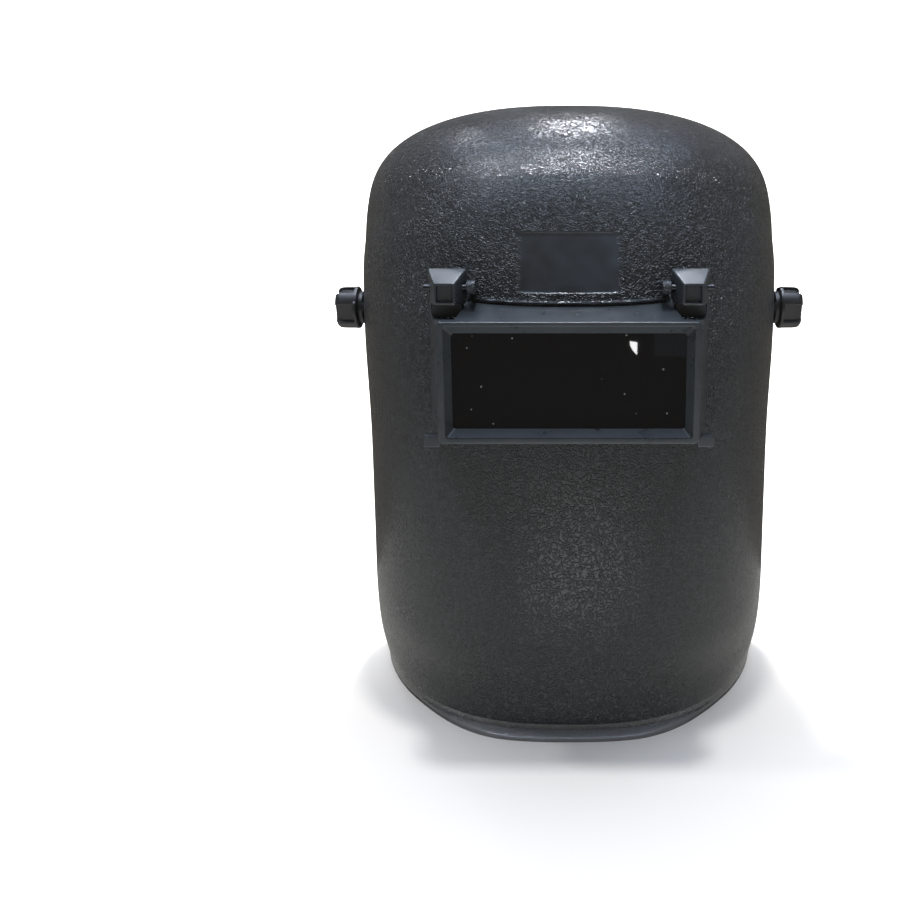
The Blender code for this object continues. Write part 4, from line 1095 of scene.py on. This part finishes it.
def glassMaterial():
    # welding filter, float glass dyed almost black: mirror-like, with a few specks of dust
    look = glassLook
    made, tree, shader = newMaterial("dyedFilterGlass", {"IOR": 1.52})
    spot = addNode(tree, "ShaderNodeTexCoord").outputs["Object"]
    cells = addNode(tree, "ShaderNodeTexVoronoi", {"Scale": 1 / look["dustSpread"]},
                    {"Vector": spot})
    speck = addNode(tree, "ShaderNodeMapRange", {"From Min": look["dustSize"],
                                                 "From Max": look["dustSize"] * 0.5},
                    {"Value": cells.outputs["Distance"]})
    colour = addNode(tree, "ShaderNodeMix", {"data_type": "RGBA", 6: linear(look["body"]),
                                             7: linear(look["dust"])}, {0: speck.outputs[0]})
    film = addNode(tree, "ShaderNodeTexNoise", {"Scale": 1 / (14 * millimetre), "Detail": 5.0},
                   {"Vector": spot})
    haze = addNode(tree, "ShaderNodeMapRange",
                   {"From Min": 0.35, "From Max": 0.75, "To Min": look["roughness"],
                    "To Max": look["roughness"] + 0.015}, {"Value": film.outputs["Fac"]})
    rough = addNode(tree, "ShaderNodeMath", {"operation": "MULTIPLY_ADD", 1: 0.5},
                    {0: speck.outputs[0], 2: haze.outputs[0]})
    wire(tree, shader, colour.outputs[2], rough.outputs[0])
    return made


def blackPinMaterial():
    # oil-blackened steel rod: dark metal, drawn lines along it, paler where it has rubbed
    made, tree, shader = newMaterial("blackenedSteel", {"Metallic": 1.0})
    spot = addNode(tree, "ShaderNodeTexCoord").outputs["Object"]
    drawn = addNode(tree, "ShaderNodeMapping", {"Scale": (0.12, 1.0, 1.0)}, {"Vector": spot})
    lines = addNode(tree, "ShaderNodeTexNoise", {"Scale": 1 / (0.25 * millimetre),
                                                 "Detail": 3.0}, {"Vector": drawn.outputs[0]})
    rub = addNode(tree, "ShaderNodeTexNoise", {"Scale": 1 / (1.8 * millimetre),
                                               "Detail": 3.0}, {"Vector": spot})
    colour = addNode(tree, "ShaderNodeMix", {"data_type": "RGBA", 6: linear("#2c2d2f"),
                                             7: linear("#57595c")}, {0: rub.outputs["Fac"]})
    rough = addNode(tree, "ShaderNodeMapRange", {"To Min": 0.28, "To Max": 0.46},
                    {"Value": rub.outputs["Fac"]})
    bump = addNode(tree, "ShaderNodeBump", {"Strength": 0.4, "Distance": 0.01 * millimetre},
                   {"Height": lines.outputs["Fac"]})
    wire(tree, shader, colour.outputs[2], rough.outputs[0], bump)
    return made


def steelMaterial():
    # zinc-plated steel, turned: pale grey metal whose fine lathe lines spread its highlights
    made, tree, shader = newMaterial("zincPlatedSteel", {"Metallic": 1.0})
    spot = addNode(tree, "ShaderNodeTexCoord").outputs["Object"]
    patches = addNode(tree, "ShaderNodeTexNoise", {"Scale": 1 / (2.5 * millimetre),
                                                   "Detail": 4.0}, {"Vector": spot})
    rough = addNode(tree, "ShaderNodeMapRange", {"To Min": 0.22, "To Max": 0.42},
                    {"Value": patches.outputs["Fac"]})
    colour = addNode(tree, "ShaderNodeMix", {"data_type": "RGBA", 6: linear("#a9abad"),
                                             7: linear("#c6c8c9")}, {0: patches.outputs["Fac"]})
    lines = addNode(tree, "ShaderNodeTexWave", {"Scale": 1 / (0.5 * millimetre),
                                                "Distortion": 1.5}, {"Vector": spot})
    bump = addNode(tree, "ShaderNodeBump", {"Strength": 0.3, "Distance": 0.01 * millimetre},
                   {"Height": lines.outputs["Fac"]})
    wire(tree, shader, colour.outputs[2], rough.outputs[0], bump)
    return made


# Putting the pieces on their bodies

def dress(piece, material, body, node=None):
    piece.data.materials.clear()
    piece.data.materials.append(material)
    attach(piece, body)
    if node:
        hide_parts(node)
    return piece


shellPlastic = shellMaterial()
framePlastic = mouldedMaterial("satinMouldedNylon", frameLook)
knobPlastic = mouldedMaterial("glossMouldedAbs", knobLook)
harnessPlastic = mouldedMaterial("matteMouldedPolyethylene", harnessLook)
filterGlass = glassMaterial()
steel = steelMaterial()
blackSteel = blackPinMaterial()
print("materials made")

dress(shellPiece(), shellPlastic, "shell", "helmet_shell")
print("shell made")
dress(liftFramePiece(), framePlastic, "lift_front", "lens_frame")
dress(filterPiece(), filterGlass, "lift_front", "filter_glass")
dress(retainerPiece(), framePlastic, "lift_front", "lens_retainer")
print("lens frame made")
dress(headbandPiece(), harnessPlastic, "head_harness", "headband")
dress(crownStrapPiece(), harnessPlastic, "head_harness", "crown_strap")
print("head harness made")
for side, word in ((-1, "left"), (1, "right")):
    dress(hingeBlockPiece(side), framePlastic, "lift_front", "hinge_block_" + word)
    dress(hingeEarPiece(side), shellPlastic, "shell")
    dress(hingePinPiece(side), blackSteel, "shell", "hinge_pin_" + word)
    dress(knobPiece(side), knobPlastic, word + "_knob", "knob_" + word)
    dress(pivotStudPiece(side), steel, "head_harness", "pivot_stud_" + word)
print("hinges and knobs made")


# Floor, light and camera

studio = {
    "floorSize": 3.0, "wallAt": 1.5, "wallHeight": 2.2, "bend": 0.5,
    "floor": "#f0e9de", "glowFrom": -0.10, "glowTo": 0.18, "glow": 1.0,
    "worldColour": "#dcd3c6", "worldStrength": 0.20,
    "ceiling": 2.2, "lampSize": 0.14,
    "lamps": ((-0.87, 0.02, 7.0), (0.03, -0.02, 19.0), (-0.87, 1.50, 9.0), (0.03, 1.45, 26.0)),
    "skyPlace": (0.0, 0.2, 2.4), "skySize": 2.6, "skyPower": 78.0,
    "sheenPlace": (0.0, -0.32, 0.001), "sheenSize": (0.90, 1.05), "sheenPower": 1.65,
    "glintPlace": (0.03, -0.38, 0.002), "glintSize": (0.30, 0.22), "glintPower": 0.36,
    "sliverPlace": (0.1025, -1.31, 0.046), "sliverSize": (0.0117, 0.0217), "sliverGlow": 22.0,
    "doorPlace": (0.178, -1.31, 0.075), "doorAim": (0.03, datumY, 0.17), "doorSize": 0.085,
    "doorPower": 0.0035,
}


def floorPiece():
    # a pale sheet that lies flat, bends up behind and stands as a wall; it glows a little
    # towards the back so that it fades into plain white
    form = studio
    turn = np.linspace(0, math.pi / 2, 24)
    flatY = np.linspace(-form["floorSize"], form["wallAt"] - form["bend"], 12)
    bendY = form["wallAt"] - form["bend"] + form["bend"] * np.sin(turn)
    bendZ = form["bend"] * (1 - np.cos(turn))
    y = np.concatenate([flatY, bendY[1:], [form["wallAt"]]])
    z = np.concatenate([np.zeros(len(flatY)), bendZ[1:], [form["wallHeight"]]])
    x = np.linspace(-form["floorSize"], form["floorSize"], 9)
    points = np.stack([np.broadcast_to(x[None, :], (len(y), len(x))),
                       np.broadcast_to(y[:, None], (len(y), len(x))),
                       np.broadcast_to(z[:, None], (len(y), len(x)))], -1)
    mesh = bpy.data.meshes.new("studioFloor")
    mesh.from_pydata(points.reshape(-1, 3).tolist(), [], gridFaces(len(y), len(x)).tolist())
    mesh.shade_smooth()
    piece = addPiece("studioFloor", mesh)
    made, tree, shader = newMaterial("matteWhitePaper", {
        "Base Color": linear(form["floor"]), "Roughness": 0.9,
        "Emission Color": linear("#ffffff")})
    spot = addNode(tree, "ShaderNodeTexCoord").outputs["Object"]
    place = addNode(tree, "ShaderNodeSeparateXYZ", links={0: spot})
    fade = addNode(tree, "ShaderNodeMapRange", {
        "interpolation_type": "SMOOTHSTEP", "From Min": form["glowFrom"],
        "From Max": form["glowTo"], "To Max": form["glow"]}, {"Value": place.outputs["Y"]})
    tree.links.new(fade.outputs[0], shader.inputs["Emission Strength"])
    mesh.materials.append(made)
    piece.visible_glossy = False   # a lamp of its own gives the floor's sheen
    return piece


def sliverPiece():
    # a sliver of bright window far behind the viewpoint, which the glass mirrors
    form = studio
    width, height = form["sliverSize"]
    share = np.linspace(0, 1, 9)
    x = np.concatenate([-width / 2 + width * share ** 2.2, [width / 2]])
    z = np.concatenate([height / 2 - height * share, [height * 0.42]])
    points = np.stack([x, np.zeros(len(x)), z], -1) + form["sliverPlace"]
    mesh = bpy.data.meshes.new("windowSliver")
    mesh.from_pydata(points.tolist(), [], [list(range(len(points)))])
    piece = addPiece("windowSliver", mesh)
    made = newMaterial("daylight", {
        "Base Color": linear("#000000"), "Emission Color": linear("#ffffff"),
        "Emission Strength": form["sliverGlow"]})[0]
    mesh.materials.append(made)
    return piece


def addLamp(name, place, target, size, power, colour="#ffffff", tall=None):
    light = bpy.data.lights.new(name, "AREA")
    light.shape = "RECTANGLE" if tall else "SQUARE"
    light.size = size
    if tall:
        light.size_y = tall
    light.energy = power
    light.color = linear(colour)[:3]
    lamp = bpy.data.objects.new(name, light)
    lamp.visible_camera = False
    lamp.location = place
    aim = np.array(target) - np.array(place)
    lamp.rotation_euler = (math.atan2(math.hypot(aim[0], aim[1]), -aim[2]), 0,
                           math.atan2(aim[1], aim[0]) - math.pi / 2)
    bpy.context.scene.collection.objects.link(lamp)
    return lamp


def setStudio():
    form = studio
    floorPiece()
    for index, (x, y, power) in enumerate(form["lamps"]):
        addLamp("ceilingLamp" + str(index), (x, y, form["ceiling"]), (x, y, 0),
                form["lampSize"], power, "#f4f8ff")
    # the pale ceiling between the lamps, and the floor's soft sheen in front of the chin
    x, y, z = form["skyPlace"]
    addLamp("paleCeiling", (x, y, z), (x, y, 0), form["skySize"], form["skyPower"], "#c3d3ee")
    for name in ("sheen", "glint"):
        x, y, z = form[name + "Place"]
        deep, wide = form[name + "Size"]
        addLamp("floor" + name.capitalize(), (x, y, z), (x, y, z + 1), deep,
                form[name + "Power"], "#e4e6e6", wide)
    sliverPiece()
    addLamp("dimDoorway", form["doorPlace"], form["doorAim"], form["doorSize"],
            form["doorPower"], "#b9cfe6")
    world = bpy.data.worlds.new("studioAir")
    bpy.context.scene.world = world
    world.use_nodes = True
    back = world.node_tree.nodes["Background"]
    back.inputs["Color"].default_value = linear(form["worldColour"])
    back.inputs["Strength"].default_value = form["worldStrength"]


viewpoint = {"place": (0.0, -0.5515, 0.2375), "pitch": math.radians(12.4), "lens": 41.0,
             "shift": -0.1322}


def setCamera():
    data = bpy.data.cameras.new("viewpoint")
    data.sensor_width = 36.0
    data.lens = viewpoint["lens"]
    data.shift_x = viewpoint["shift"]
    data.clip_start = 0.01
    camera = bpy.data.objects.new("viewpoint", data)
    camera.location = viewpoint["place"]
    camera.rotation_euler = (math.pi / 2 - viewpoint["pitch"], 0, 0)
    bpy.context.scene.collection.objects.link(camera)
    bpy.context.scene.camera = camera


setStudio()
setCamera()
bpy.context.scene.view_settings.view_transform = "Standard"
print("studio and camera set")
